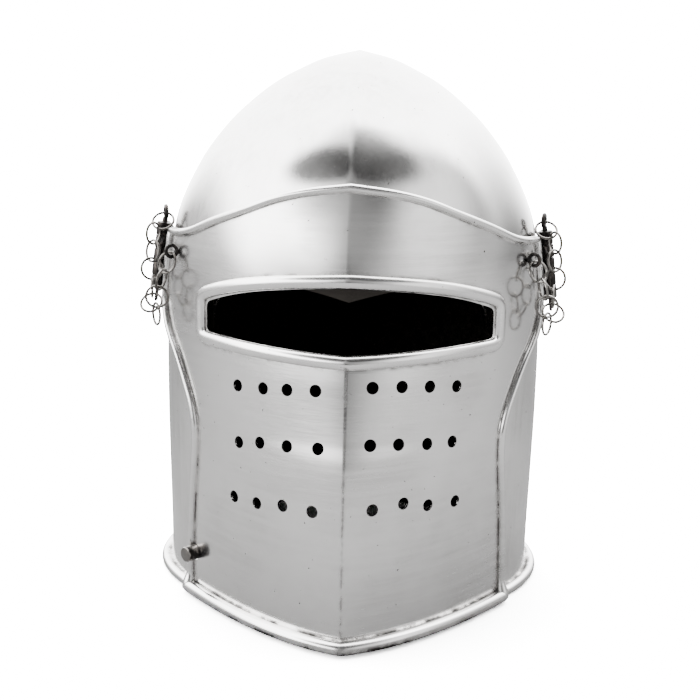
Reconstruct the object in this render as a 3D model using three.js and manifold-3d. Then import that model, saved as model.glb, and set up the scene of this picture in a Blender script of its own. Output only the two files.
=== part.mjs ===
// Visored bascinet in steel, built at its real size in millimetres.
// +Z is up, the face looks towards -Y, and +X is the wearer's left side. The origin lies on the
// surface that the helmet stands on, under the point between the two temples.
// The skull is one raised bowl with a face opening. The visor closes it and swings up on two arms
// about the temple rivets. Each arm is joined to the visor by a hinge whose pin pulls out; a chain
// keeps the pin with the visor. A sprung stud in the skull comes through the visor and locks it.
import * as THREE from "three";
import { mergeVertices } from "three/addons/utils/BufferGeometryUtils.js";
import Module from "manifold-3d";

const wasm = await Module();
wasm.setup();

const degrees = Math.PI / 180;

// Driving sizes of the skull
const skullHeight = 320; // apex above the surface
const skullHalfWidth = 114.5;
const skullFront = 97; // from the temple line to the forehead
const skullRear = 111; // from the temple line to the back of the bowl
const apexBack = 25; // how far the apex lies behind the temple line
const skullWall = 1.6;
const skullKeel = 3.2; // height of the crease along the middle of the bowl
const keelReach = 34 * degrees;
const rimFlare = 3.6; // the wall turns out by this much above the rolled edge
const rimFlareHeight = 15;
const rimRadius = 3; // rolled lower edge of the skull
const hiddenRimRadius = 1.5; // the same edge where the visor covers it
const liningHoleRadius = 1.6;
const clearance = 0.3; // gap kept between separate pieces

// Driving sizes of the face opening behind the visor
const browPoint = 186; // middle of the brow above the surface
const browLift = 8; // the brow rises by this much on either side
const eyesHalfWidth = 76;
const jawHalfWidth = 62;

// Driving sizes of the visor
const visorHeight = 246.8; // top edge at the middle of the brow
const visorBottom = 4.6;
const visorBeside = 5; // the visor lies this far outside the skull at the temples
const visorAhead = 2; // and this far in front of its forehead
const visorHalfWidth = skullHalfWidth + visorBeside;
const visorFront = skullFront + visorAhead;
const visorRidge = 40; // how far the ridge stands out at the chin
const ridgeReach = 58 * degrees;
const ridgeFullness = 1.1;
const visorWall = 1.5;
const chinRollRadius = 3.8;
const sideRollRadius = 2.3;
const browRollRadius = 2.3;
const breathRadius = 3.4;

// Driving sizes of the eye slit, seen from the front
const slitHalfWidth = 79.5;
const slitBottom = 163.5;
const slitTop = 196; // at the middle
const slitLipWidth = 7.4; // rolled lip round the slit
const slitLipHeight = 4.4;

// Driving sizes of the pivots, hinges and pins
const pivotBack = 18; // temple rivet behind the temple line
const pivotShank = 3;
const pivotCollar = 5;
const pivotHead = 7.5;
const pivotHeadHeight = 3;
const armThickness = 2;
const armInset = 1.6; // inner face of the arm, inside the barrel's axis
const armHalfWidth = 9; // round end of the arm at the temple rivet
const barrelForward = 24; // hinge barrel in front of the temple line
const barrelDrop = 28.8; // top of the barrel below the top of the visor
const barrelTop = visorHeight - barrelDrop;
const pivotDrop = 18; // temple rivet below the top of the barrel
const pivotHeight = barrelTop - pivotDrop;
const barrelLength = 40;
const barrelLean = 7.5 * degrees; // the barrel follows the slope of the bowl
const barrelRadius = 4.4;
const barrelOut = 7.4; // axis of the barrel outside the visor's side edge
const knuckleCount = 5;
const leafLength = 5;
const leafThickness = 1.4;
const hingePinRadius = 1.6;
const eyeRadius = 3.3; // centre line of the ring eye on the pin
const eyeWire = 1.25;
const eyeRise = 6; // centre of the eye above the barrel
const tailLength = 7.5;
const tailWidth = 4.6;
const tailThickness = 1.5;

// Driving sizes of the chains and staples
const linkRadius = 6.2; // centre line of a chain ring
const linkWire = 0.75;
const stapleRadius = 3.3;
const stapleWire = 1.1;
const stapleAngle = 61 * degrees;
const stapleDrop = 14; // middle of the staple below the top of the barrel
const stapleHeight = barrelTop - stapleDrop;

// Route of a chain on the wearer's left: the way from each ring to the next, first down from the
// eye of the pin and then down from the staple. One more ring at the bottom joins the two falls.
const chainFromPin = [
  { out: 0.19, ahead: 0.9, down: 1 },
  { out: 0.69, ahead: 1.01, down: 1 },
  { out: 0.02, ahead: 0.23, down: 1 },
  { out: 0.03, ahead: 0.2, down: 1 },
  { out: -0.04, ahead: 0.15, down: 1 },
  { out: -0.05, ahead: 0.67, down: 1 },
];
const chainFromStaple = [
  { out: 0.36, ahead: 0.22, down: 1 },
  { out: 0.3, ahead: 0.36, down: 1 },
  { out: 0.27, ahead: 0.01, down: 1 },
];
const eyeTurn = 17.2 * degrees; // how far the pin's eye is turned from the side to the front
const pinFallTwist = -17.2 * degrees; // what each ring turns beyond square to the one before it
const stapleFallTwist = 22.4 * degrees;

// Driving sizes of the sprung stud
const studRadius = 4.5;
const studHeight = 27.5;
const studAngle = 48 * degrees;
const studProud = 8; // how far it stands out of the visor
const studTravel = 10;
const studFlange = 1.6;
const studFlangeWidth = 1.3;
const cupWall = 1.4;

// Each row is one level section of the bowl, as shares of the sizes above, from the rim up.
const skullSections = [
  { rise: 0.008, width: 0.989, front: 0.907, rear: 0.945, centre: 0 },
  { rise: 0.094, width: 0.99, front: 0.907, rear: 0.928, centre: 0 },
  { rise: 0.22, width: 0.996, front: 0.918, rear: 0.914, centre: 0 },
  { rise: 0.345, width: 1, front: 0.938, rear: 0.937, centre: 0 },
  { rise: 0.471, width: 0.996, front: 0.969, rear: 0.973, centre: 0 },
  { rise: 0.597, width: 0.978, front: 0.99, rear: 1.0, centre: 0 },
  { rise: 0.7, width: 0.932, front: 0.979, rear: 0.991, centre: 0.08 },
  { rise: 0.791, width: 0.818, front: 0.928, rear: 0.941, centre: 0.24 },
  { rise: 0.859, width: 0.682, front: 0.794, rear: 0.86, centre: 0.4 },
  { rise: 0.906, width: 0.549, front: 0.634, rear: 0.775, centre: 0.56 },
  { rise: 0.94, width: 0.426, front: 0.454, rear: 0.667, centre: 0.72 },
  { rise: 0.963, width: 0.31, front: 0.309, rear: 0.559, centre: 0.84 },
  { rise: 0.984, width: 0.18, front: 0.11, rear: 0.432, centre: 0.94 },
  { rise: 1.0, width: 0, front: -0.258, rear: 0.225, centre: 1 },
];

// Each row is one level section of the visor: its height, its width, depth and ridge as shares,
// and the angle from the face at which its side edge lies.
const visorSections = [
  { height: 0.0, width: 1.0, front: 0.944, ridge: 1.01, edge: 50.5 },
  { height: 0.2, width: 0.987, front: 0.96, ridge: 0.97, edge: 50 },
  { height: 0.38, width: 0.983, front: 0.992, ridge: 0.8, edge: 48 },
  { height: 0.46, width: 0.98, front: 1.0, ridge: 0.68, edge: 49.5 },
  { height: 0.53, width: 0.979, front: 1.005, ridge: 0.59, edge: 54 },
  { height: 0.58, width: 0.979, front: 1.005, ridge: 0.54, edge: 58.5 },
  { height: 0.615, width: 0.979, front: 1.005, ridge: 0.5, edge: 63 },
  { height: 0.65, width: 0.979, front: 1.005, ridge: 0.46, edge: 67 },
  { height: 0.7, width: 0.975, front: 1.008, ridge: 0.41, edge: 70 },
  { height: 0.79, width: 0.96, front: 1.012, ridge: 0.33, edge: 70 },
  { height: 0.86, width: 0.94, front: 1.008, ridge: 0.27, edge: 70 },
  { height: 0.93, width: 0.9, front: 0.995, ridge: 0.2, edge: 70 },
  { height: 1.0, width: 0.838, front: 0.965, ridge: 0.15, edge: 70 },
];

// Each row is a point of the brow edge: its angle from the face and its height as a share.
const browEdge = [
  { angle: 0, height: 1.0 },
  { angle: 12.5, height: 0.988 },
  { angle: 22.5, height: 0.97 },
  { angle: 32, height: 0.942 },
  { angle: 43, height: 0.91 },
  { angle: 53, height: 0.88 },
  { angle: 61, height: 0.868 },
  { angle: 70, height: 0.864 },
];

// Breaths, charted as they were punched: place across the face and height, one row of each pair of
// lists for each row of holes, from the wearer's right to left.
const breathRows = [
  { x: [-60, -45, -31.5, -16, 14, 29.5, 44.5, 59.5], z: [137.5, 139, 140.5, 142, 144.5, 144, 142.5, 140.5] },
  { x: [-59, -46.5, -31, -14, 13.5, 28.5, 44, 58], z: [106, 109, 110.5, 112, 114.5, 113.5, 111.5, 110] },
  { x: [-62, -48, -33, -16.5, 15.5, 32, 45.5, 61], z: [73.5, 74.5, 77.5, 78, 80, 81, 77, 75] },
];

// Catmull-Rom value of one column at a fractional row index, the way a loft passes its sections.
function columnAt(rows, column, place) {
  const last = rows.length - 1;
  const row = Math.min(Math.max(Math.floor(place), 0), last - 1);
  const t = place - row;
  const value = (i) => rows[Math.min(Math.max(i, 0), last)][column];
  const [p0, p1, p2, p3] = [value(row - 1), value(row), value(row + 1), value(row + 2)];
  const slope1 = (p2 - p0) / 2;
  const slope2 = (p3 - p1) / 2;
  return (
    (2 * t ** 3 - 3 * t ** 2 + 1) * p1 +
    (t ** 3 - 2 * t ** 2 + t) * slope1 +
    (3 * t ** 2 - 2 * t ** 3) * p2 +
    (t ** 3 - t ** 2) * slope2
  );
}

// The fractional row index at which a rising column has the value.
function placeOf(rows, column, value) {
  let low = 0;
  let high = rows.length - 1;
  for (let step = 0; step < 40; step++) {
    const middle = (low + high) / 2;
    if (columnAt(rows, column, middle) < value) low = middle;
    else high = middle;
  }
  return (low + high) / 2;
}

// A crease that stands out at the middle and dies away within its reach. fullness holds it up
// beside the middle, so that the plates on either side are convex.
function crease(angle, height, reach, fullness = 0) {
  const share = Math.min(1, Math.abs(angle) / reach);
  return height * (1 - share) ** 2 * (1 + fullness * share);
}

// How much of the rolled rim shows: all of it beside and behind, and none under the visor.
function rimShown(angle) {
  return THREE.MathUtils.smoothstep(Math.abs(angle), 48 * degrees, 56 * degrees);
}

// Skull surface. angle is measured from the face, positive to +X; place runs through the sections.
function skullPoint(angle, place) {
  const z = skullHeight * columnAt(skullSections, "rise", place);
  const centre = apexBack * columnAt(skullSections, "centre", place);
  const halfWidth = skullHalfWidth * Math.max(0, columnAt(skullSections, "width", place));
  const front = skullFront * columnAt(skullSections, "front", place) + centre;
  const rear = skullRear * columnAt(skullSections, "rear", place) - centre;
  const size = Math.min(1, halfWidth / (0.5 * skullHalfWidth));
  const ahead = Math.cos(angle);
  const depth = ahead > 0 ? front : rear;
  const keel =
    crease(angle, skullKeel * size, keelReach) +
    crease(Math.PI - Math.abs(angle), 0.6 * skullKeel * size, keelReach);
  const flare = rimShown(angle) * rimFlare * Math.max(0, 1 - z / rimFlareHeight) ** 2;
  return new THREE.Vector3(
    (halfWidth + flare) * Math.sin(angle),
    centre - (depth + flare) * ahead - keel * Math.sign(ahead),
    z,
  );
}

function skullAt(angle, z) {
  return skullPoint(angle, placeOf(skullSections, "rise", z / skullHeight));
}

// Visor surface at an angle from the face and a height.
function visorAt(angle, z) {
  const share = THREE.MathUtils.clamp((z - visorBottom) / (visorHeight - visorBottom), 0, 1);
  const place = placeOf(visorSections, "height", share);
  const size = (column) => columnAt(visorSections, column, place);
  return new THREE.Vector3(
    visorHalfWidth * size("width") * Math.sin(angle),
    -visorFront * size("front") * Math.cos(angle) -
      crease(angle, visorRidge * size("ridge"), ridgeReach, ridgeFullness),
    z,
  );
}

// Visor surface by its own grid: u runs -1 to 1 from edge to edge, v from the chin to the brow.
function visorPoint(u, v) {
  const browPlace = placeOf(browEdge, "angle", Math.abs(u) * browEdge.at(-1).angle);
  const top = visorBottom + (visorHeight - visorBottom) * columnAt(browEdge, "height", browPlace);
  const z = visorBottom + (top - visorBottom) * v;
  const share = (z - visorBottom) / (visorHeight - visorBottom);
  const place = placeOf(visorSections, "height", share);
  return visorAt(u * columnAt(visorSections, "edge", place) * degrees, z);
}

// Outward normal of a surface function f(a, b), from its slopes along both.
function normalOf(f, a, b, stepA, stepB) {
  const alongA = f(a + stepA, b).sub(f(a - stepA, b));
  const alongB = f(a, b + stepB).sub(f(a, b - stepB));
  return alongA.cross(alongB).normalize();
}

const skullNormal = (angle, place) => normalOf(skullPoint, angle, place, 0.01, 0.02);
const visorNormal = (angle, z) => normalOf(visorAt, angle, z, 0.01, 0.5);

// The angle from the face at which a level section of a surface reaches the given x.
function angleAtX(surface, x, z) {
  let low = 0;
  let high = Math.PI / 2;
  for (let step = 0; step < 40; step++) {
    const middle = (low + high) / 2;
    if (surface(middle, z).x < Math.abs(x)) low = middle;
    else high = middle;
  }
  return Math.sign(x) * low;
}

// Solids: merged meshes in and out of the boolean library.
function toSolid(geometry) {
  const bare = geometry.clone();
  for (const name of ["normal", "uv"]) bare.deleteAttribute(name);
  const merged = mergeVertices(bare, 1e-4);
  return new wasm.Manifold(
    new wasm.Mesh({
      numProp: 3,
      vertProperties: new Float32Array(merged.attributes.position.array),
      triVerts: new Uint32Array(merged.index.array),
    }),
  );
}

function toGeometry(solid) {
  const mesh = solid.getMesh();
  const geometry = new THREE.BufferGeometry();
  geometry.setAttribute("position", new THREE.BufferAttribute(mesh.vertProperties, 3));
  geometry.setIndex(new THREE.BufferAttribute(mesh.triVerts, 1));
  geometry.computeVertexNormals();
  return geometry;
}

// A closed surface from rings of points, each ring joined to the next. Open ends are capped by
// strips that join each point of a ring to the one that lies opposite.
function ringsGeometry(rings, closed = false) {
  const around = rings[0].length;
  const index = [];
  const count = closed ? rings.length : rings.length - 1;
  for (let r = 0; r < count; r++) {
    const here = r * around;
    const next = ((r + 1) % rings.length) * around;
    for (let i = 0; i < around; i++) {
      const j = (i + 1) % around;
      index.push(here + i, here + j, next + j, here + i, next + j, next + i);
    }
  }
  if (!closed) {
    const last = (rings.length - 1) * around;
    for (let a = 0; a < around / 2 - 1; a++) {
      const [b, c, d] = [a + 1, around - 2 - a, around - 1 - a];
      index.push(d, c, b, d, b, a);
      index.push(last + a, last + b, last + c, last + a, last + c, last + d);
    }
  }
  return new THREE.BufferGeometry().setFromPoints(rings.flat()).setIndex(index);
}

// A tube of oval section along points. across lies in the surface and proud along its normal.
const rollSides = 6;
function sweptRoll(path, closed = false) {
  const count = path.length;
  const rings = path.map(({ at, normal, across, proud }, i) => {
    const before = path[closed ? (i - 1 + count) % count : Math.max(i - 1, 0)].at;
    const after = path[closed ? (i + 1) % count : Math.min(i + 1, count - 1)].at;
    const side = normal.clone().cross(after.clone().sub(before)).normalize();
    return Array.from({ length: rollSides }, (_, k) => {
      const turn = (2 * Math.PI * (k + 0.5)) / rollSides;
      return at
        .clone()
        .addScaledVector(side, across * Math.cos(turn))
        .addScaledVector(normal, proud * Math.sin(turn));
    });
  });
  return toSolid(ringsGeometry(rings, closed));
}

// A round bar between two points.
function bar(from, to, radius, sides = 16) {
  const axis = to.clone().sub(from);
  const geometry = new THREE.CylinderGeometry(radius, radius, axis.length(), sides);
  geometry.applyQuaternion(
    new THREE.Quaternion().setFromUnitVectors(new THREE.Vector3(0, 1, 0), axis.clone().normalize()),
  );
  geometry.translate(...from.clone().add(to).multiplyScalar(0.5).toArray());
  return toSolid(geometry);
}

// A turned piece: a profile of radius and distance along the axis, from a point.
function turned(profile, from, direction, sides = 16) {
  const geometry = new THREE.LatheGeometry(
    profile.map(([radius, along]) => new THREE.Vector2(radius, along)),
    sides,
  );
  geometry.applyQuaternion(
    new THREE.Quaternion().setFromUnitVectors(new THREE.Vector3(0, 1, 0), direction),
  );
  geometry.translate(...from.toArray());
  return toSolid(geometry);
}

// An outline seen from the front, cut through everything ahead of the temple line.
function frontCutter(shape) {
  const depth = 2 * visorFront;
  const geometry = new THREE.ExtrudeGeometry(shape, { depth, bevelEnabled: false, curveSegments: 8 });
  geometry.rotateX(Math.PI / 2);
  geometry.translate(0, -0.1 * visorFront, 0);
  return toSolid(geometry);
}

// Skull: one loft inside another, cut by the face opening, with a rolled lower edge.
const pivot = new THREE.Vector3(0, pivotBack, pivotHeight);
const skullAround = 30;
const skullRings = [0, 0.13, 0.3, 0.6, 2, 3.5, 5, 6, 7, 7.7, 8.4, 9.1, 9.8, 10.6, 11.3, 12.2];
const apexPlace = skullSections.length - 1;

function skullLoft(inset) {
  const rings = skullRings.map((place) =>
    Array.from({ length: skullAround }, (_, i) => {
      const turn = (2 * Math.PI * i) / skullAround;
      const angle = turn > Math.PI ? turn - 2 * Math.PI : turn;
      return skullPoint(angle, place).addScaledVector(skullNormal(angle, place), -inset);
    }),
  );
  if (inset > 0) rings.unshift(rings[0].map((point) => point.clone().setZ(-rimRadius)));
  const apex = skullPoint(0, apexPlace).setX(0).setZ(skullHeight - 1.15 * inset);
  rings.push(rings.at(-1).map((point) => apex.clone().lerp(point, 0.04)));
  return toSolid(ringsGeometry(rings));
}

// Face opening, seen from the front: a point at the brow, wide at the eyes, narrower at the jaw.
function faceOpening() {
  const low = -2 * rimRadius;
  const top = browPoint + browLift;
  const shape = new THREE.Shape();
  shape.moveTo(0, browPoint);
  shape.quadraticCurveTo(0.35 * eyesHalfWidth, top, 0.6 * eyesHalfWidth, top);
  shape.quadraticCurveTo(eyesHalfWidth, top, eyesHalfWidth, 0.9 * browPoint);
  shape.quadraticCurveTo(eyesHalfWidth, 0.5 * browPoint, jawHalfWidth, low);
  shape.lineTo(-jawHalfWidth, low);
  shape.quadraticCurveTo(-eyesHalfWidth, 0.5 * browPoint, -eyesHalfWidth, 0.9 * browPoint);
  shape.quadraticCurveTo(-eyesHalfWidth, top, -0.6 * eyesHalfWidth, top);
  shape.quadraticCurveTo(-0.35 * eyesHalfWidth, top, 0, browPoint);
  return frontCutter(shape);
}

// Rolled rim: full round where it shows and a thin roll under the visor, flat where it stands.
function rimPath() {
  const steps = 40;
  const end = angleAtX(skullAt, jawHalfWidth + hiddenRimRadius, rimRadius);
  return Array.from({ length: steps + 1 }, (_, i) => {
    const turn = end + ((2 * Math.PI - 2 * end) * i) / steps;
    const angle = turn > Math.PI ? turn - 2 * Math.PI : turn;
    const radius = THREE.MathUtils.lerp(hiddenRimRadius, rimRadius, rimShown(angle));
    const normal = skullNormal(angle, 0).setZ(0).normalize();
    const at = skullPoint(angle, 0).addScaledVector(normal, radius - skullWall);
    return { at: at.setZ(radius * Math.cos(Math.PI / rollSides)), normal, across: radius, proud: radius };
  });
}

// Sprung stud: level and square to the skull. Distances along it start at the skull's face.
const studFoot = skullAt(-studAngle, studHeight);
const studAxis = skullNormal(-studAngle, placeOf(skullSections, "rise", studHeight / skullHeight));
studAxis.setZ(0).normalize();
const alongStud = (distance) => studFoot.clone().addScaledVector(studAxis, distance);

// Distance from the skull's face to the visor's face along the stud.
function visorFaceAlongStud() {
  let inside = 0;
  let outside = 3 * visorRidge;
  for (let step = 0; step < 40; step++) {
    const middle = (inside + outside) / 2;
    const point = alongStud(middle);
    const face = visorAt(angleAtX(visorAt, point.x, studHeight), studHeight);
    if (point.y > face.y) inside = middle;
    else outside = middle;
  }
  return inside;
}
const studTip = visorFaceAlongStud() + studProud;
const studBase = -skullWall - 2 * clearance - studFlangeWidth - studFlange;
const cupInside = studRadius + studFlangeWidth + clearance;
const cupDepth = studBase - studTravel - clearance;

function makeSkull() {
  let solid = skullLoft(0).subtract(skullLoft(skullWall));
  solid = solid.add(sweptRoll(rimPath())).subtract(faceOpening());
  solid = solid.subtract(bar(alongStud(-6), alongStud(6), studRadius + clearance, 16));
  const lining = skullAt(78 * degrees, 133);
  const inside = 0.8 * skullHalfWidth;
  const outside = 1.2 * skullHalfWidth;
  for (const x of [-1, 1]) {
    for (const [at, radius] of [[pivot, pivotShank + clearance], [lining, liningHoleRadius]]) {
      const hole = bar(at.clone().setX(x * inside), at.clone().setX(x * outside), radius, 12);
      solid = solid.subtract(hole);
    }
  }
  return solid;
}

// Visor: one shell from its grid, with rolled edges, a lipped slit and punched breaths.
const visorColumns = 22;
const visorRows = 12;

// Outward normal of the visor's grid. Its edges take the slope just inside them.
function gridNormal(u, v) {
  const inside = 0.002;
  const within = (value, low) => THREE.MathUtils.clamp(value, low + inside, 1 - inside);
  const normal = normalOf(visorPoint, within(u, -1), within(v, 0), inside, inside);
  if (Math.abs(u) < 1e-6) normal.setX(0).normalize();
  return normal;
}

function visorShell() {
  const columns = Array.from({ length: visorColumns + 1 }, (_, c) => -1 + (2 * c) / visorColumns);
  const rings = Array.from({ length: visorRows + 1 }, (_, r) => {
    const v = r / visorRows;
    const outer = columns.map((u) => visorPoint(u, v));
    const inner = columns.map((u) => visorPoint(u, v).addScaledVector(gridNormal(u, v), -visorWall));
    return [...outer, ...inner.reverse()];
  });
  return toSolid(ringsGeometry(rings));
}

// The roll along the edge of the visor, whose inner side is flush with the plate.
function visorEdgePath() {
  const path = [];
  const put = (u, v, radius) => {
    const normal = gridNormal(u, v);
    const at = visorPoint(u, v).addScaledVector(normal, radius - visorWall);
    path.push({ at, normal, across: radius, proud: radius });
  };
  for (let c = 0; c <= visorColumns; c++) put(-1 + (2 * c) / visorColumns, 0, chinRollRadius);
  for (let r = 1; r < visorRows; r++) put(1, r / visorRows, sideRollRadius);
  for (let c = visorColumns; c >= 0; c--) put(-1 + (2 * c) / visorColumns, 1, browRollRadius);
  for (let r = visorRows - 1; r > 0; r--) put(-1, r / visorRows, sideRollRadius);
  return path;
}

// Slit outline seen from the front: nearly straight below, arched above.
const slitArch = [
  { x: 0, rise: 1 },
  { x: 0.33, rise: 0.94 },
  { x: 0.61, rise: 0.84 },
  { x: 0.82, rise: 0.7 },
  { x: 1, rise: 0.52 },
];
const slitSag = 2.5; // the lower edge is this much lower at the ridge
const slitSteps = 12;

function slitOutline(grow) {
  const half = slitHalfWidth + grow;
  const across = Array.from({ length: slitSteps + 1 }, (_, i) => -1 + (2 * i) / slitSteps);
  const below = across.map((t) => [t * half, slitBottom - slitSag * (1 - Math.abs(t)) - grow]);
  const above = across.map((t) => {
    const rise = columnAt(slitArch, "rise", placeOf(slitArch, "x", Math.abs(t)));
    return [t * half, slitBottom + (slitTop - slitBottom) * rise + grow];
  });
  return [...below, ...above.reverse()];
}

function slitLipPath() {
  return slitOutline(slitLipWidth / 2).map(([x, z]) => {
    const angle = angleAtX(visorAt, x, z);
    const normal = visorNormal(angle, z);
    if (Math.abs(x) < 1e-6) normal.setX(0).normalize();
    const at = visorAt(angle, z).addScaledVector(normal, slitLipHeight / 2 - visorWall);
    return { at, normal, across: slitLipWidth / 2, proud: slitLipHeight / 2 };
  });
}

function makeVisor() {
  const slit = new THREE.Shape(slitOutline(0).map(([x, z]) => new THREE.Vector2(x, z)));
  let solid = visorShell().add(sweptRoll(visorEdgePath(), true));
  solid = solid.add(sweptRoll(slitLipPath(), true)).subtract(frontCutter(slit));
  for (const { x, z } of breathRows) {
    x.forEach((across, i) => {
      const angle = angleAtX(visorAt, across, z[i]);
      const at = visorAt(angle, z[i]);
      const through = visorNormal(angle, z[i]).multiplyScalar(2 * visorWall);
      const hole = bar(at.clone().sub(through), at.clone().add(through), breathRadius, 8);
      solid = solid.subtract(hole);
    });
  }
  const studHole = bar(alongStud(1), alongStud(studTip + 2), studRadius + 2 * clearance, 16);
  return solid.subtract(studHole);
}

// Stud with a flange that stops it in the skull, and the cup that guides it from behind.
function makeStud() {
  const edge = 0.6;
  const profile = [
    [0, 0],
    [studRadius + studFlangeWidth, 0],
    [studRadius + studFlangeWidth, studFlange],
    [studRadius, studFlange],
    [studRadius, studTip - studBase - edge],
    [studRadius - edge, studTip - studBase],
    [0, studTip - studBase],
  ];
  return turned(profile, alongStud(studBase), studAxis);
}

function makeStudCup() {
  const profile = [
    [0, 0],
    [cupInside + cupWall, 0],
    [cupInside + cupWall, -cupDepth + cupWall + skullWall],
    [cupInside, -cupDepth + cupWall + skullWall],
    [cupInside, cupWall],
    [0, cupWall],
  ];
  const cup = turned(profile, alongStud(cupDepth - cupWall), studAxis);
  return cup.intersect(skullLoft(skullWall + clearance));
}

// Hinge: the barrel's axis on the +X side, leaning with the bowl.
const barrelUp = new THREE.Vector3(-Math.sin(barrelLean), 0, Math.cos(barrelLean));
const barrelOutward = new THREE.Vector3(Math.cos(barrelLean), 0, Math.sin(barrelLean));
const edgeAngle = visorSections.at(-1).edge * degrees;
const barrelHead = visorAt(edgeAngle, barrelTop).setY(-barrelForward);
barrelHead.x += barrelOut;
const downBarrel = (distance) => barrelHead.clone().addScaledVector(barrelUp, -distance);
const knuckleLength = barrelLength / knuckleCount;
const halfBarrel = barrelLength / 2;

// One half of the hinge: its plate and every second knuckle, cut clear of the other half's.
function hingeHalf(plate, first) {
  let half = plate;
  for (let k = 0; k < knuckleCount; k++) {
    const own = k % 2 === first;
    const gap = own ? clearance / 2 : -clearance / 2;
    const from = downBarrel(k * knuckleLength + gap);
    const to = downBarrel((k + 1) * knuckleLength - gap);
    const knuckle = bar(from, to, own ? barrelRadius : barrelRadius + clearance, 8);
    half = own ? half.add(knuckle) : half.subtract(knuckle);
  }
  const beyond = 2 * barrelRadius;
  const bore = bar(downBarrel(-beyond), downBarrel(barrelLength + beyond), hingePinRadius + clearance, 6);
  return half.subtract(bore);
}

// A plate that leans with the barrel. Its outline is given in Y and in height on the barrel from
// its middle, and its inner face lies at a distance outside the barrel's axis.
function leaningPlate(shape, inner, thickness) {
  const geometry = new THREE.ExtrudeGeometry(shape, {
    depth: thickness,
    bevelEnabled: false,
    curveSegments: 5,
  });
  const along = new THREE.Vector3(0, 1, 0);
  geometry.applyMatrix4(new THREE.Matrix4().makeBasis(along, barrelUp, barrelOutward));
  const origin = downBarrel(halfBarrel).addScaledVector(barrelOutward, inner);
  geometry.translate(origin.x, 0, origin.z);
  return toSolid(geometry);
}

function makeVisorLeaf() {
  const shape = new THREE.Shape();
  shape.moveTo(-barrelForward, 0.7 * halfBarrel);
  shape.lineTo(-barrelForward - barrelRadius - leafLength, 0.4 * halfBarrel);
  shape.lineTo(-barrelForward - barrelRadius - leafLength, -0.7 * halfBarrel);
  shape.lineTo(-barrelForward, -0.9 * halfBarrel);
  shape.closePath();
  return hingeHalf(leaningPlate(shape, -leafThickness, leafThickness), 1);
}

// Arm: from the barrel back to a round end about the temple rivet.
const pivotRise = (pivotHeight - downBarrel(halfBarrel).z) / Math.cos(barrelLean);

function makeArm() {
  const neck = -barrelForward + 1.5 * barrelRadius;
  const shape = new THREE.Shape();
  shape.moveTo(-barrelForward, halfBarrel);
  shape.lineTo(-barrelForward, -halfBarrel);
  shape.lineTo(neck, -halfBarrel);
  shape.absarc(pivotBack, pivotRise, armHalfWidth, -110 * degrees, 110 * degrees, false);
  shape.lineTo(neck, halfBarrel);
  shape.closePath();
  const plate = leaningPlate(shape, -armInset, armThickness);
  const far = 1.5 * skullHalfWidth;
  const hole = bar(pivot.clone().setX(0.5 * far), pivot.clone().setX(far), pivotShank + clearance, 12);
  return hingeHalf(plate, 0).subtract(hole);
}

// Temple rivet: head inside, collar between the bowl and the arm, domed head outside. The head
// and the collar lie on the wall all round.
function makeRivet() {
  const outward = new THREE.Vector3(1, 0, 0);
  const at = (x) => pivot.clone().setX(x);
  const slope = Math.tan(barrelLean);
  const armX = downBarrel(halfBarrel).addScaledVector(barrelOutward, -armInset).x;
  const armInnerX = armX - (pivotHeight - downBarrel(halfBarrel).z) * slope;
  const temple = Math.PI / 2 + Math.asin(pivotBack / skullRear);
  const wallX = skullAt(temple, pivotHeight).x;
  const innerFace = wallX - skullWall - pivotHead / 2;
  const collarTo = armInnerX - pivotCollar * slope - clearance;
  const headFrom = armInnerX + armThickness / Math.cos(barrelLean) + pivotHead * slope + clearance;
  const dome = [
    [0, 0],
    [pivotHead, 0],
    [0.9 * pivotHead, 0.45 * pivotHeadHeight],
    [0.55 * pivotHead, 0.85 * pivotHeadHeight],
    [0, pivotHeadHeight],
  ];
  const shank = bar(at(innerFace), at(headFrom + 1), pivotShank, 10);
  const head = bar(at(innerFace), at(wallX), 0.8 * pivotHead, 12);
  const collar = bar(at(wallX - skullWall), at(collarTo), pivotCollar, 12);
  return shank
    .add(head.intersect(skullLoft(skullWall + clearance)))
    .add(collar.subtract(skullLoft(-clearance)))
    .add(turned(dome, at(headFrom), outward, 12));
}

// Chain rings: each ring lies about square to the one before it.
const eyeCentre = downBarrel(-eyeRise);
const stapleNormal = visorNormal(stapleAngle, stapleHeight);
const stapleFoot = visorAt(stapleAngle, stapleHeight);
const stapleCentre = stapleFoot.clone().addScaledVector(stapleNormal, stapleRadius + stapleWire);
const linkPitch = 2 * (linkRadius - linkWire - clearance);

// Ring centres of one fall, hung from an eye of the given inner radius.
function hangRings(from, inner, ways) {
  const centres = [];
  let at = from.clone();
  ways.forEach(({ out, ahead, down }, i) => {
    const way = new THREE.Vector3(out, -ahead, -down).normalize();
    const reach = i === 0 ? linkRadius + inner - linkWire - 2 * clearance : linkPitch;
    at = at.clone().addScaledVector(way, reach);
    centres.push(at);
  });
  return centres;
}

const pinFall = hangRings(eyeCentre, eyeRadius - eyeWire, chainFromPin);
const stapleFall = hangRings(stapleCentre, stapleRadius - stapleWire, chainFromStaple);
const lowest = (() => {
  const [a, b] = [pinFall.at(-1), stapleFall.at(-1)];
  const half = a.distanceTo(b) / 2;
  const level = b.clone().sub(a).normalize();
  const down = new THREE.Vector3(0, 0, -1);
  down.addScaledVector(level, -down.dot(level)).normalize();
  const drop = Math.sqrt(Math.max(0, linkPitch ** 2 - half ** 2));
  return a.clone().lerp(b, 0.5).addScaledVector(down, drop);
})();
const linkCentres = [...pinFall, lowest, ...stapleFall.reverse()];

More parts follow.
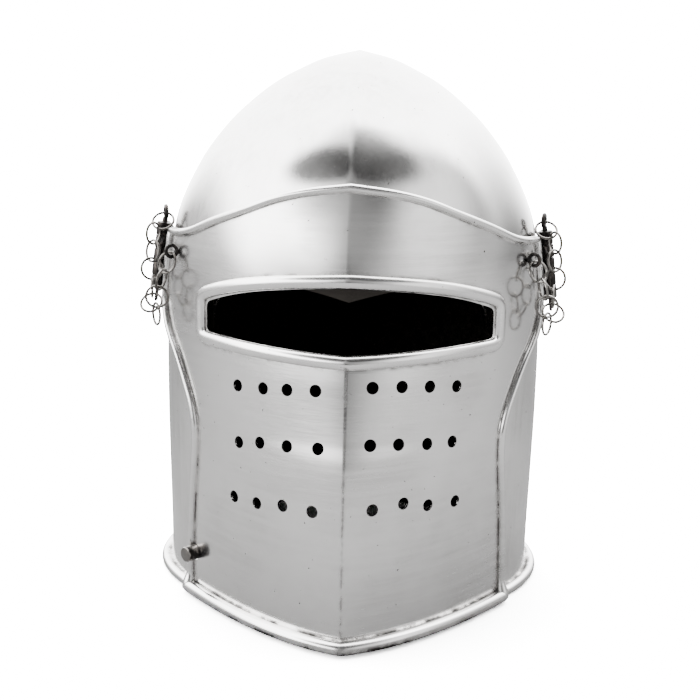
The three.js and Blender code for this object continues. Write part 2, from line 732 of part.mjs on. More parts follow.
const eyeFacing = new THREE.Vector3(Math.cos(eyeTurn), -Math.sin(eyeTurn), 0);
const links = [];
let before = eyeFacing;
linkCentres.forEach((centre, i) => {
  const last = i === 0 ? eyeCentre : linkCentres[i - 1];
  const next = linkCentres[i + 1] ?? stapleCentre;
  const along = next.clone().sub(last).normalize();
  let normal = along.clone().cross(before).normalize();
  normal.applyAxisAngle(along, i < pinFall.length ? pinFallTwist : stapleFallTwist);
  if (centre === lowest) normal = last.clone().sub(centre).cross(next.clone().sub(centre)).normalize();
  links.push({ centre, normal });
  before = normal;
});
const stapleFacing = stapleNormal.clone().cross(new THREE.Vector3(0, 0, 1));

// A round ring of wire about a centre. normal is the way that it faces.
function ring(centre, normal, radius, wire, around = 12, sides = 5) {
  const geometry = new THREE.TorusGeometry(radius, wire, sides, around);
  const facing = new THREE.Quaternion();
  facing.setFromUnitVectors(new THREE.Vector3(0, 0, 1), normal.clone().normalize());
  geometry.applyQuaternion(facing);
  geometry.translate(...centre.toArray());
  return toSolid(geometry);
}

function makeHingePin() {
  const tail = new THREE.BoxGeometry(tailThickness, tailWidth, tailLength);
  tail.rotateY(-barrelLean);
  tail.translate(...downBarrel(barrelLength + clearance + tailLength / 2).toArray());
  const shank = bar(downBarrel(eyeRadius - eyeRise), downBarrel(barrelLength + 1), hingePinRadius, 6);
  return shank.add(ring(eyeCentre, eyeFacing, eyeRadius, eyeWire)).add(toSolid(tail));
}

function makeStaple() {
  const foot = stapleFoot.clone().addScaledVector(stapleNormal, clearance);
  const neck = stapleFoot.clone().addScaledVector(stapleNormal, 2 * stapleWire);
  const eye = ring(stapleCentre, stapleFacing, stapleRadius, stapleWire);
  return eye.add(bar(foot, neck, 1.6 * stapleWire, 8));
}

// The whole helmet, with its pieces on the wearer's right mirrored from the left.
const steel = { color: 0xc9c8c6, roughness: 0.32, metalness: 1 };
const darkIron = { color: 0x4d4641, roughness: 0.5, metalness: 1 };
const wireSteel = { color: 0xb9b6b0, roughness: 0.3, metalness: 1 };

const helmet = new THREE.Group();
function place(name, solid, finish) {
  const mesh = new THREE.Mesh(toGeometry(solid), new THREE.MeshStandardMaterial(finish));
  mesh.name = name;
  helmet.add(mesh);
}

function placePair(name, solid, finish) {
  place(`${name}_left`, solid, finish);
  place(`${name}_right`, solid.mirror([1, 0, 0]), finish);
}

place("skull", makeSkull(), steel);
place("visor", makeVisor(), steel);
place("catch_stud", makeStud(), darkIron);
place("catch_cup", makeStudCup(), darkIron);
placePair("temple_rivet", makeRivet(), darkIron);
placePair("visor_arm", makeArm(), darkIron);
placePair("visor_leaf", makeVisorLeaf(), darkIron);
placePair("hinge_pin", makeHingePin(), darkIron);
placePair("chain_staple", makeStaple(), darkIron);
links.forEach(({ centre, normal }, i) => {
  placePair(`chain_ring_${i + 1}`, ring(centre, normal, linkRadius, linkWire), wireSteel);
});

// The origin goes to the surface, under the middle of the helmet's box.
const middle = new THREE.Box3().setFromObject(helmet).getCenter(new THREE.Vector3());
helmet.position.y = -middle.y;

export default helmet;
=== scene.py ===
# %% [markdown]
# # A visored bascinet in polished steel
# A bascinet is a war helmet: a pointed bowl, called the skull, and a visor that swings up over it.
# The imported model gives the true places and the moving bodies, but its solids are cut in flat
# facets. Polished steel shows every facet in its reflections, so this lesson builds finer plates
# on the same curves, and puts the grain, the dark patina and the wear into their materials.

# %% Load the frame
import math
from collections import namedtuple

import bmesh
import bpy
from mathutils import Matrix, Quaternion, Vector, kdtree


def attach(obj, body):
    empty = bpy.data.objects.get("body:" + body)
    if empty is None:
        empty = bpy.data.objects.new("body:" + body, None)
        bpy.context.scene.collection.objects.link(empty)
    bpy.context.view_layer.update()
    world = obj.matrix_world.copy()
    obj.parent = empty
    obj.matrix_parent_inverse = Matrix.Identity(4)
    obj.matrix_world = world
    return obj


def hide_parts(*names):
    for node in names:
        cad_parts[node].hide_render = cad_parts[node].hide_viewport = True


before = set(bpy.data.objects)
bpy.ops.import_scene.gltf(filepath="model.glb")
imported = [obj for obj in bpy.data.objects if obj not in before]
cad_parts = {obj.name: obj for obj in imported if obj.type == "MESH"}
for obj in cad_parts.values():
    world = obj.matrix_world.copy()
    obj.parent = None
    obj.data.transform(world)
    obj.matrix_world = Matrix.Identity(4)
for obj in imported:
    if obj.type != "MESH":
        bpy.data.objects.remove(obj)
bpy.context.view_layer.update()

# %% [markdown]
# ## Sizes
# The plates repeat the named sizes of the solids, so that both have one shape. They are written in
# millimetres, as an armourer would, and a single factor turns them into Blender's metres at the
# end. Heights are above the surface that the helmet stands on. Depths are counted from the temple
# line, the level line that joins the two temples.

# %% Sizes of the skull and the visor
MM = 0.001
DEG = math.pi / 180
TEMPLE_LINE_Y = 13.13  # the temple line lies this far behind the middle of the helmet's box

SKULL_HEIGHT = 320
SKULL_HALF_WIDTH = 114.5
SKULL_FRONT = 97
SKULL_REAR = 111
APEX_BACK = 25
SKULL_WALL = 1.6
SKULL_KEEL = 3.2
REAR_KEEL = 0.6  # as a share of the keel in front
KEEL_REACH = 34 * DEG
KEEL_END = 0.5  # the keel dies away above where the bowl has this share of its width
RIM_FLARE = 3.6
RIM_FLARE_HEIGHT = 15
RIM_RADIUS = 3
HIDDEN_RIM_RADIUS = 1.5
RIM_SHOWS = (48 * DEG, 56 * DEG)  # the rolled rim grows full between these angles

BROW_POINT = 186
BROW_LIFT = 8
EYES_HALF_WIDTH = 76
JAW_HALF_WIDTH = 62

VISOR_HEIGHT = 246.8
VISOR_BOTTOM = 4.6
VISOR_HALF_WIDTH = 119.5
VISOR_FRONT = 99
VISOR_RIDGE = 40
RIDGE_REACH = 58 * DEG
RIDGE_FULLNESS = 1.1
VISOR_WALL = 1.5
CHIN_ROLL_RADIUS = 3.8
SIDE_ROLL_RADIUS = 2.3
BREATH_RADIUS = 3.4
CLEARANCE = 0.3

SLIT_HALF_WIDTH = 79.5
SLIT_BOTTOM = 163.5
SLIT_TOP = 196
SLIT_SAG = 2.5
SLIT_LIP_WIDTH = 7.4
SLIT_LIP_HEIGHT = 4.4

# %% [markdown]
# Each row of these tables is one section of a plate, as shares of the sizes above. A plate passes
# through its sections on a Catmull-Rom curve, which needs no handles: its slope at each row comes
# from the rows on both sides.

# %% Sections of the plates
def table(columns, *rows):
    """Rows of numbers with named columns."""
    Row = namedtuple("Row", columns)
    return [Row(*row) for row in rows]


SKULL_SECTIONS = table(
    "rise width front rear centre",
    (0.008, 0.989, 0.907, 0.945, 0.0),
    (0.094, 0.99, 0.907, 0.928, 0.0),
    (0.22, 0.996, 0.918, 0.914, 0.0),
    (0.345, 1.0, 0.938, 0.937, 0.0),
    (0.471, 0.996, 0.969, 0.973, 0.0),
    (0.597, 0.978, 0.99, 1.0, 0.0),
    (0.7, 0.932, 0.979, 0.991, 0.08),
    (0.791, 0.818, 0.928, 0.941, 0.24),
    (0.859, 0.682, 0.794, 0.86, 0.4),
    (0.906, 0.549, 0.634, 0.775, 0.56),
    (0.94, 0.426, 0.454, 0.667, 0.72),
    (0.963, 0.31, 0.309, 0.559, 0.84),
    (0.984, 0.18, 0.11, 0.432, 0.94),
    (1.0, 0.0, -0.258, 0.225, 1.0),
)

VISOR_SECTIONS = table(
    "height width front ridge edge",
    (0.0, 1.0, 0.944, 1.01, 50.5),
    (0.2, 0.987, 0.96, 0.97, 50),
    (0.38, 0.983, 0.992, 0.8, 48),
    (0.46, 0.98, 1.0, 0.68, 49.5),
    (0.53, 0.979, 1.005, 0.59, 54),
    (0.58, 0.979, 1.005, 0.54, 58.5),
    (0.615, 0.979, 1.005, 0.5, 63),
    (0.65, 0.979, 1.005, 0.46, 67),
    (0.7, 0.975, 1.008, 0.41, 70),
    (0.79, 0.96, 1.012, 0.33, 70),
    (0.86, 0.94, 1.008, 0.27, 70),
    (0.93, 0.9, 0.995, 0.2, 70),
    (1.0, 0.838, 0.965, 0.15, 70),
)

BROW_EDGE = table(
    "angle height",
    (0, 1.0), (12.5, 0.988), (22.5, 0.97), (32, 0.942),
    (43, 0.91), (53, 0.88), (61, 0.868), (70, 0.864),
)

SLIT_ARCH = table(
    "x rise",
    (0, 1), (0.33, 0.94), (0.61, 0.84), (0.82, 0.7), (1, 0.52),
)

# Breaths, each by its place across the face and its height: three rows of four and four
BREATHS = (
    (-60, 137.5), (-45, 139), (-31.5, 140.5), (-16, 142),
    (14, 144.5), (29.5, 144), (44.5, 142.5), (59.5, 140.5),
    (-59, 106), (-46.5, 109), (-31, 110.5), (-14, 112),
    (13.5, 114.5), (28.5, 113.5), (44, 111.5), (58, 110),
    (-62, 73.5), (-48, 74.5), (-33, 77.5), (-16.5, 78),
    (15.5, 80), (32, 81), (45.5, 77), (61, 75),
)


def column_at(rows, column, place):
    """The value of one column at a fractional row."""
    last = len(rows) - 1
    row = min(max(int(place), 0), last - 1)
    t = place - row
    p0, p1, p2, p3 = (getattr(rows[min(max(i, 0), last)], column) for i in range(row - 1, row + 3))
    return (
        (2 * t**3 - 3 * t**2 + 1) * p1
        + (t**3 - 2 * t**2 + t) * (p2 - p0) / 2
        + (3 * t**2 - 2 * t**3) * p2
        + (t**3 - t**2) * (p3 - p1) / 2
    )


def halve(low, high, is_before, times=30):
    """Closes in on the place between low and high where a test stops holding."""
    for _ in range(times):
        middle = (low + high) / 2
        if is_before(middle):
            low = middle
        else:
            high = middle
    return low, high


def place_of(rows, column, value):
    """The fractional row at which a rising column has the value."""
    ends = halve(0.0, len(rows) - 1.0, lambda place: column_at(rows, column, place) < value, 26)
    return sum(ends) / 2


def smoothstep(x, low, high):
    """0 below low and 1 above high, with a soft passage between."""
    t = min(max((x - low) / (high - low), 0), 1)
    return t * t * (3 - 2 * t)


print("sections:", len(SKULL_SECTIONS), "skull,", len(VISOR_SECTIONS), "visor")

# %% [markdown]
# ## Surfaces
# Skull and visor are both level ovals stacked up, with a crease that stands out along the middle.
# Two functions give every point of them, so plates, rolled edges, rivets and hinges all meet.

# %% Surface functions
def crease(angle, height, reach, fullness=0):
    """How far a crease stands out at an angle from the middle."""
    share = min(1, abs(angle) / reach)
    return height * (1 - share) ** 2 * (1 + fullness * share)


def rim_shown(angle):
    """How much of the rolled rim shows: all of it behind, none of it under the visor."""
    return smoothstep(abs(angle), *RIM_SHOWS)


def skull_point(angle, place):
    """A point of the skull, by its angle from the face and its place among the sections."""
    section = {name: column_at(SKULL_SECTIONS, name, place) for name in SKULL_SECTIONS[0]._fields}
    z = SKULL_HEIGHT * section["rise"]
    centre = APEX_BACK * section["centre"]
    half_width = SKULL_HALF_WIDTH * max(0, section["width"])
    ahead = math.cos(angle)
    front = SKULL_FRONT * section["front"] + centre
    rear = SKULL_REAR * section["rear"] - centre
    size = min(1, half_width / (KEEL_END * SKULL_HALF_WIDTH))
    keel = crease(angle, SKULL_KEEL * size, KEEL_REACH)
    keel += crease(math.pi - abs(angle), REAR_KEEL * SKULL_KEEL * size, KEEL_REACH)
    flare = rim_shown(angle) * RIM_FLARE * max(0, 1 - z / RIM_FLARE_HEIGHT) ** 2
    depth = (front if ahead > 0 else rear) + flare
    return Vector((
        (half_width + flare) * math.sin(angle),
        centre - depth * ahead - math.copysign(keel, ahead),
        z,
    ))


def skull_at(angle, z):
    """The same surface, by angle and height."""
    return skull_point(angle, place_of(SKULL_SECTIONS, "rise", z / SKULL_HEIGHT))


def visor_at(angle, z):
    """A point of the visor, by its angle from the face and its height."""
    share = min(max((z - VISOR_BOTTOM) / (VISOR_HEIGHT - VISOR_BOTTOM), 0), 1)
    place = place_of(VISOR_SECTIONS, "height", share)
    ridge = VISOR_RIDGE * column_at(VISOR_SECTIONS, "ridge", place)
    return Vector((
        VISOR_HALF_WIDTH * column_at(VISOR_SECTIONS, "width", place) * math.sin(angle),
        -VISOR_FRONT * column_at(VISOR_SECTIONS, "front", place) * math.cos(angle)
        - crease(angle, ridge, RIDGE_REACH, RIDGE_FULLNESS),
        z,
    ))


def visor_point(u, v):
    """A point of the visor's own grid: u from edge to edge, -1 to 1, and v from chin to brow."""
    brow_place = place_of(BROW_EDGE, "angle", abs(u) * BROW_EDGE[-1].angle)
    top = VISOR_BOTTOM + (VISOR_HEIGHT - VISOR_BOTTOM) * column_at(BROW_EDGE, "height", brow_place)
    z = VISOR_BOTTOM + (top - VISOR_BOTTOM) * v
    place = place_of(VISOR_SECTIONS, "height", (z - VISOR_BOTTOM) / (VISOR_HEIGHT - VISOR_BOTTOM))
    return visor_at(u * column_at(VISOR_SECTIONS, "edge", place) * DEG, z)


def normal_of(surface, a, b, step_a, step_b):
    """The outward normal of a surface function, from its slopes both ways."""
    along_a = surface(a + step_a, b) - surface(a - step_a, b)
    along_b = surface(a, b + step_b) - surface(a, b - step_b)
    return along_a.cross(along_b).normalized()


def grid_normal(u, v):
    """The normal on the visor's grid. At an edge it is the normal just inside."""
    step = 0.002
    inside_u = min(max(u, step - 1), 1 - step)
    inside_v = min(max(v, step), 1 - step)
    normal = normal_of(visor_point, inside_u, inside_v, step, step)
    if abs(u) < 1e-6:
        normal.x = 0
    return normal.normalized()


def visor_normal(angle, z):
    return normal_of(visor_at, angle, z, 0.01, 0.5)


def skull_normal(angle, place):
    return normal_of(skull_point, angle, place, 0.01, 0.02)


def angle_at_x(surface, x, z):
    """The angle at which a level section reaches x."""
    low, _ = halve(0.0, math.pi / 2, lambda angle: surface(angle, z).x < abs(x))
    return math.copysign(low, x)


print("visor's chin:", visor_at(0, VISOR_BOTTOM), "apex:", skull_point(0, len(SKULL_SECTIONS) - 1))

# %% [markdown]
# ## From a grid to a plate
# A steel plate is a sheet, so it starts from a flat grid. Each vertex reads its own place on the
# grid, and moves to the point of the surface that belongs there. A sheet that closes on itself is
# welded along its seam. Only then does the shape go from millimetres to metres, and back by the
# depth of the temple line.

# %% Helpers that make and place pieces
def to_frame(point):
    """A point in millimetres from the temple line, in metres in the shared frame."""
    return Vector((point.x, point.y + TEMPLE_LINE_Y, point.z)) * MM


def sheet_mesh(columns, rows, surface):
    """A bmesh grid laid on surface(a, b), where a and b run from 0 to 1."""
    mesh = bmesh.new()
    bmesh.ops.create_grid(mesh, x_segments=columns, y_segments=rows, size=1)
    for vert in mesh.verts:
        vert.co = surface((vert.co.x + 1) / 2, (vert.co.y + 1) / 2)
    bmesh.ops.remove_doubles(mesh, verts=mesh.verts, dist=1e-3)
    return mesh


def object_of(name, mesh):
    """Turns a bmesh into an object."""
    data = bpy.data.meshes.new(name)
    mesh.to_mesh(data)
    mesh.free()
    made = bpy.data.objects.new(name, data)
    bpy.context.collection.objects.link(made)
    return made


def add_piece(name, mesh, body, replaced, materials):
    """Makes an object of a bmesh in millimetres, and hangs it on a body of the frame."""
    for vert in mesh.verts:
        vert.co = to_frame(vert.co)
    piece = object_of(name, mesh)
    for material in materials:
        piece.data.materials.append(material)
    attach(piece, body)
    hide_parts(*replaced)
    return piece


def shade(mesh, sharpest=32 * DEG):
    """Smooth faces, with hard edges where the faces meet at a steep angle."""
    for face in mesh.faces:
        face.smooth = True
    for edge in mesh.edges:
        edge.smooth = edge.calc_face_angle(0) < sharpest


def punched_plate(name, sheet, wall, punch):
    """A sheet with its wall on the inner side, and with the punch's holes cut through it."""
    tool = object_of(f"{name}_punch", punch)
    draft = object_of(f"{name}_draft", sheet)
    for _ in range(2):  # the second slot is for the inner side
        draft.data.materials.append(None)
    solidify = draft.modifiers.new("solidify", "SOLIDIFY")
    solidify.thickness = wall
    solidify.offset = -1
    solidify.material_offset = 1
    solidify.material_offset_rim = 0
    boolean = draft.modifiers.new("boolean", "BOOLEAN")
    boolean.object = tool
    boolean.operation = "DIFFERENCE"
    boolean.solver = "EXACT"
    finished = draft.evaluated_get(bpy.context.evaluated_depsgraph_get())
    plate = bmesh.new()
    plate.from_mesh(finished.to_mesh())
    finished.to_mesh_clear()
    for used in (draft, tool):
        bpy.data.objects.remove(used)
    shade(plate)
    return plate


def upended(at, direction):
    """The matrix that stands the Z axis up along a direction, at a point."""
    return Matrix.Translation(at) @ direction.to_track_quat("Z", "Y").to_matrix().to_4x4()


def drill(mesh, at, direction, radius, reach, sides=28):
    """Adds a round punch to a cutter mesh, with its middle at a point."""
    bmesh.ops.create_cone(
        mesh, cap_ends=True, segments=sides, radius1=radius, radius2=radius, depth=2 * reach,
        matrix=upended(at, direction),
    )


def pull(mesh, spots, way):
    """Adds a straight solid: a face with its corners at these spots, pulled one way."""
    face = mesh.faces.new([mesh.verts.new(spot) for spot in spots])
    made = bmesh.ops.extrude_face_region(mesh, geom=[face])
    moved = [item for item in made["geom"] if isinstance(item, bmesh.types.BMVert)]
    bmesh.ops.translate(mesh, verts=moved, vec=way)
    bmesh.ops.recalc_face_normals(mesh, faces=mesh.faces)


def face_punch(mesh, outline):
    """Adds a punch of an outline in X and Z, from inside the face to well before it."""
    near, far = -0.1 * VISOR_FRONT, -2 * VISOR_FRONT
    pull(mesh, [(x, near, z) for x, z in outline], (0, far - near, 0))


def bevelled(mesh, edges, offset):
    """Rounds some edges off, as a file does."""
    bmesh.ops.bevel(
        mesh, geom=edges, offset=offset, offset_type="OFFSET", segments=2, profile=0.5,
        affect="EDGES", material=-1,
    )


def roll(path, sides=16, closed=False):
    """A bead of oval section along a path of (centre, normal, across, proud)."""
    last = len(path) - 1
    sections = []
    for i, (at, normal, across, proud) in enumerate(path):
        before = path[(i - 1) % len(path)][0] if closed else path[max(i - 1, 0)][0]
        after = path[(i + 1) % len(path)][0] if closed else path[min(i + 1, last)][0]
        side = normal.cross(after - before).normalized()
        sections.append((at, side * across, normal * proud))
    if closed:
        sections.append(sections[0])

    def point(along, around):
        at, side, out = sections[round(along * (len(sections) - 1))]
        turn = 2 * math.pi * round(around * sides) / sides
        return at + side * math.cos(turn) + out * math.sin(turn)

    mesh = sheet_mesh(len(sections) - 1, sides, point)
    if not closed:
        ends = [edge for edge in mesh.edges if edge.is_boundary]
        bmesh.ops.holes_fill(mesh, edges=ends, sides=0)
    bmesh.ops.recalc_face_normals(mesh, faces=mesh.faces)
    return mesh


def join(target, other):
    """Adds a bmesh to the first one."""
    data = bpy.data.meshes.new("joined")
    other.to_mesh(data)
    other.free()
    target.from_mesh(data)
    bpy.data.meshes.remove(data)
    return target


def mirrored(mesh):
    """A copy of a bmesh for the wearer's right side."""
    copy = mesh.copy()
    bmesh.ops.scale(copy, vec=(-1, 1, 1), verts=copy.verts)
    bmesh.ops.reverse_faces(copy, faces=copy.faces)
    return copy


print("helpers are ready")

# %% [markdown]
# The room, the floor and the finishes are all trees of shader nodes, so they share a few helpers
# that add nodes and wire them up.

# %% Helpers for node trees
def wire(tree, kind, settings=None, **inputs):
    """Adds a node. An input is a value, or the output socket that feeds it."""
    node = tree.nodes.new("ShaderNode" + kind)
    for key, value in (settings or {}).items():
        setattr(node, key, value)
    for label, value in inputs.items():
        by_number = label[1:].isdigit()
        target = node.inputs[int(label[1:]) if by_number else label.replace("_", " ")]
        if isinstance(value, bpy.types.NodeSocket):
            tree.links.new(value, target)
        else:
            target.default_value = value
    return node


def calculate(tree, operation, first, second):
    """The output of a Math node."""
    return wire(tree, "Math", {"operation": operation}, i0=first, i1=second).outputs["Value"]


def from_to(tree, value, low, high, to_low=0.0, to_high=1.0):
    """A value spread from one range to another, with soft ends."""
    return wire(
        tree, "MapRange", {"interpolation_type": "SMOOTHSTEP"}, Value=value,
        From_Min=low, From_Max=high, To_Min=to_low, To_Max=to_high,
    ).outputs["Result"]


def mix_colours(tree, factor, first, second):
    """The output of a Mix node between two colours."""
    return wire(tree, "Mix", {"data_type": "RGBA"}, i0=factor, i6=first, i7=second).outputs[2]


def noise(tree, vector, scale, detail, roughness):
    return wire(
        tree, "TexNoise", Vector=vector, Scale=scale, Detail=detail, Roughness=roughness,
    ).outputs["Fac"]


def feed(tree, node, **outputs):
    """Links output sockets to the inputs of a node that have these names."""
    for label, socket in outputs.items():
        tree.links.new(socket, node.inputs[label.replace("_", " ")])


def new_group(name, inputs):
    """A node group for the values of a finish, what it is given, and its end node."""
    group = bpy.data.node_groups.new(name, "ShaderNodeTree")
    for label, (kind, value) in inputs.items():
        socket = group.interface.new_socket(label, in_out="INPUT", socket_type="NodeSocket" + kind)
        socket.default_value = value
    for label in ("Color", "Roughness", "Metallic", "Height"):
        kind = "Color" if label == "Color" else "Float"
        group.interface.new_socket(label, in_out="OUTPUT", socket_type="NodeSocket" + kind)
    start, end = group.nodes.new("NodeGroupInput"), group.nodes.new("NodeGroupOutput")
    return group, start.outputs, end


print("node helpers are ready")

# %% [markdown]
# ## The camera
# The camera stands a long arm's length in front of the face and a little above the brow, and looks
# slightly down. It is turned and rolled by small angles, as a camera on a tripod often is. The
# focal length is counted in pixels of a picture 700 wide, and then turned into a lens.

# %% Camera
PICTURE_WIDTH = 700
FOCAL_PIXELS = 1150
CAMERA_DISTANCE = 0.7
CAMERA_HEIGHT = 0.298
CAMERA_AZIMUTH = 1.5 * DEG
CAMERA_PITCH = 12.9 * DEG
CAMERA_ROLL = 1.2 * DEG
PICTURE_SHIFT_PIXELS = -2.6

ahead = Vector((
    -math.sin(CAMERA_AZIMUTH) * math.cos(CAMERA_PITCH),
    math.cos(CAMERA_AZIMUTH) * math.cos(CAMERA_PITCH),
    -math.sin(CAMERA_PITCH),
))
level = Vector((math.cos(CAMERA_AZIMUTH), math.sin(CAMERA_AZIMUTH), 0))
upright = level.cross(ahead)
right = level * math.cos(CAMERA_ROLL) + upright * math.sin(CAMERA_ROLL)
up = upright * math.cos(CAMERA_ROLL) - level * math.sin(CAMERA_ROLL)

camera_data = bpy.data.cameras.new("camera")
camera_data.sensor_width = 36
camera_data.lens = camera_data.sensor_width * FOCAL_PIXELS / PICTURE_WIDTH
camera_data.shift_x = PICTURE_SHIFT_PIXELS / PICTURE_WIDTH
camera_data.clip_start = 0.01
camera = bpy.data.objects.new("camera", camera_data)
bpy.context.collection.objects.link(camera)
camera.matrix_world = Matrix.Translation((
    math.sin(CAMERA_AZIMUTH) * CAMERA_DISTANCE,
    TEMPLE_LINE_Y * MM - math.cos(CAMERA_AZIMUTH) * CAMERA_DISTANCE,
    CAMERA_HEIGHT,
)) @ Matrix((right, up, -ahead)).transposed().to_4x4()
bpy.context.scene.camera = camera
print("lens:", round(camera_data.lens, 2), "mm")

# %% [markdown]
# ## Floor and light
# Polished steel shows the room more than its own colour, so the room is the most important light.
# The world is a white studio tent with bright walls and ceiling. Round dark patches with soft edges
# give the steel its form: the open front, where the photographer stands, the floor's front edge,
# and the dimmer corners on both sides. The floor is bright for the eye, as an overexposed paper
# sweep is, while the steel sees a plain grey paper: a Light Path node tells the two apart.

# %% World
world = bpy.data.worlds.new("studio")
bpy.context.scene.world = world
world.use_nodes = True
studio = world.node_tree
studio.nodes.clear()
direction = wire(studio, "TexCoord").outputs["Generated"]
seen = wire(studio, "LightPath").outputs["Is Camera Ray"]

WALL_BRIGHTNESS = 9.5
PAPER_BRIGHTNESS = 20.0
# Where each patch is, in degrees, where its dark middle ends and its soft edge ends, and how much
# of the light it keeps
ROOM_PATCHES = table(
    "azimuth elevation inner outer factor",
    (-36, 43, 15.5, 27, 0.037),
    (31, 49, 18, 31.5, 0.088),
    (-3, 55, 0, 36.5, 0.149),
    (3, 14, 8.5, 42.5, 0.054),
    (-13, -65, 66, 85.5, 0.091),
    (58, 23, 27.5, 45.5, 0.238),
    (112, -12, 8, 57, 0.03),
    (-112, -28, 36, 53.5, 0.12),
)


def darkened(light, patch):
    """The room's light after a round patch of it is made darker."""
    azimuth, elevation = patch.azimuth * DEG, patch.elevation * DEG
    middle = (
        math.cos(elevation) * math.sin(azimuth),
        -math.cos(elevation) * math.cos(azimuth),
        math.sin(elevation),
    )
    near = wire(studio, "VectorMath", {"operation": "DOT_PRODUCT"}, i0=direction, i1=middle)
    edge, core = math.cos(patch.outer * DEG), math.cos(patch.inner * DEG)
    fade = from_to(studio, near.outputs["Value"], edge, core, 1, patch.factor)
    return calculate(studio, "MULTIPLY", light, fade)


room = WALL_BRIGHTNESS
for patch in ROOM_PATCHES:
    room = darkened(room, patch)
room = calculate(studio, "MULTIPLY", room, calculate(studio, "SUBTRACT", 1.0, seen))
room = calculate(studio, "ADD", room, calculate(studio, "MULTIPLY", seen, PAPER_BRIGHTNESS))
background = wire(studio, "Background", Color=room)
wire(studio, "OutputWorld", Surface=background.outputs["Background"])
print("room patches:", len(ROOM_PATCHES))

# %% Floor
PAPER_SEEN = 4.6  # how bright the paper is to the eye, as a share of the light on it
PAPER_MIRRORED = 0.19  # the same as the steel sees it, in front of the helmet
PAPER_BEHIND = 0.11  # and behind it
PAPER_DIMS = (-0.2, 0.35)  # the depths, in metres, between which the one passes into the other
floor_mesh = bmesh.new()
bmesh.ops.create_grid(floor_mesh, x_segments=8, y_segments=8, size=4)
floor = object_of("floor", floor_mesh)
paper = bpy.data.materials.new("paper")
paper.use_nodes = True
tree = paper.node_tree
tree.nodes.clear()
place = wire(tree, "SeparateXYZ", Vector=wire(tree, "TexCoord").outputs["Object"])
mirrored_light = from_to(tree, place.outputs["Y"], *PAPER_DIMS, PAPER_MIRRORED, PAPER_BEHIND)
brightness = wire(
    tree, "MapRange", Value=wire(tree, "LightPath").outputs["Is Camera Ray"],
    To_Min=mirrored_light, To_Max=PAPER_SEEN,
)
matte = wire(tree, "BsdfDiffuse", Color=brightness.outputs["Result"])
wire(tree, "OutputMaterial", Surface=matte.outputs["BSDF"])
floor.data.materials.append(paper)
print("floor is", floor.dimensions.x, "m wide")

# %% [markdown]
# ## Finishes
# Three finishes cover the helmet. The plates are steel, ground and then polished by hand, so the
# surface keeps a fine grain in one direction and soft clouds from uneven polishing. Its colour also
# carries patina and painted shade in the creases beside the rolled edges, painted shade at the
# point of the brow, and darker marks along the ridge and under the chin's roll. The hinges are
# forged iron, black from the fire and worn at the high places. The chains are drawn wire.
# The effects are node groups, so that each material can have its own values of the same effect.
#
# Polished steel: the grain is noise that is stretched along the polishing strokes. It goes mostly
# into the roughness and a very shallow bump, because the colour of clean steel hardly changes.

# %% Polished steel as a node group
polish, start, end = new_group(
    "polished_steel",
    {
        "Strokes": ("Vector", (1.0, 1.0, 1.0)),
        "Bright": ("Color", (0.8, 0.79, 0.78, 1)),
        "Dull": ("Color", (0.6, 0.59, 0.58, 1)),
        # the colour of patina and of painted shade
        "ShadeAndPatina": ("Color", (0.03, 0.026, 0.023, 1)),
        "Roughness": ("Float", 0.25),
        "Wear": ("Float", 1.0),
    },
)
place = wire(polish, "TexCoord").outputs["Object"]
strokes = wire(
    polish, "VectorMath", {"operation": "MULTIPLY"}, i0=place, i1=start["Strokes"],
).outputs["Vector"]
fine_grain = noise(polish, strokes, 1500.0, 4.0, 0.65)
long_strokes = noise(polish, strokes, 260.0, 3.0, 0.6)
clouds = noise(polish, place, 16.0, 4.0, 0.6)
blotches = noise(polish, place, 75.0, 5.0, 0.65)
# The mask holds patina and painted shade in the creases beside the rolls, painted shade at the
# brow, and darker marks at the ridge and chin
shade_patina_mask = wire(polish, "Attribute", {"attribute_name": "shade_patina_mask"}).outputs["Fac"]
broken = from_to(polish, blotches, 0.4, 0.62, 0.06, 0.85)
patchy_shade_patina = calculate(polish, "MULTIPLY", shade_patina_mask, broken)
specks = from_to(polish, noise(polish, place, 420.0, 2.0, 0.5), 0.735, 0.78)
specks = calculate(polish, "MULTIPLY", specks, start["Wear"])
shade_patina_and_specks = wire(
    polish, "Math", {"operation": "ADD", "use_clamp": True}, i0=patchy_shade_patina, i1=specks,
).outputs["Value"]
dullness = from_to(polish, clouds, 0.34, 0.7)
uneven = from_to(polish, long_strokes, 0.3, 0.7, 0.4, 1.0)
dullness = calculate(polish, "MULTIPLY", dullness, uneven)
steel_colour = mix_colours(polish, dullness, start["Bright"], start["Dull"])
# Patina with painted shade, and the worn specks, darken the colour here
steel_colour = mix_colours(polish, shade_patina_and_specks, steel_colour, start["ShadeAndPatina"])
roughness = start["Roughness"]
for cause, low, high, to_low, to_high in (
    (fine_grain, 0.3, 0.75, -0.03, 0.04), (clouds, 0.35, 0.7, -0.03, 0.05), (shade_patina_and_specks, 0, 1, 0, 0.28),
):
    change = from_to(polish, cause, low, high, to_low, to_high)
    roughness = calculate(polish, "ADD", roughness, change)
height = calculate(polish, "ADD", fine_grain, calculate(polish, "MULTIPLY", long_strokes, 0.6))
height = calculate(polish, "SUBTRACT", height, calculate(polish, "MULTIPLY", specks, 0.8))
feed(
    polish, end, Color=steel_colour, Roughness=roughness, Height=height,
    Metallic=from_to(polish, shade_patina_and_specks, 0.2, 1.0, 1.0, 0.8),
)
print("polished_steel has", len(polish.nodes), "nodes")

# %% [markdown]
# Forged iron: hammer marks are soft noise in the bump, and the black scale is worn through to
# brown and grey iron in patches.

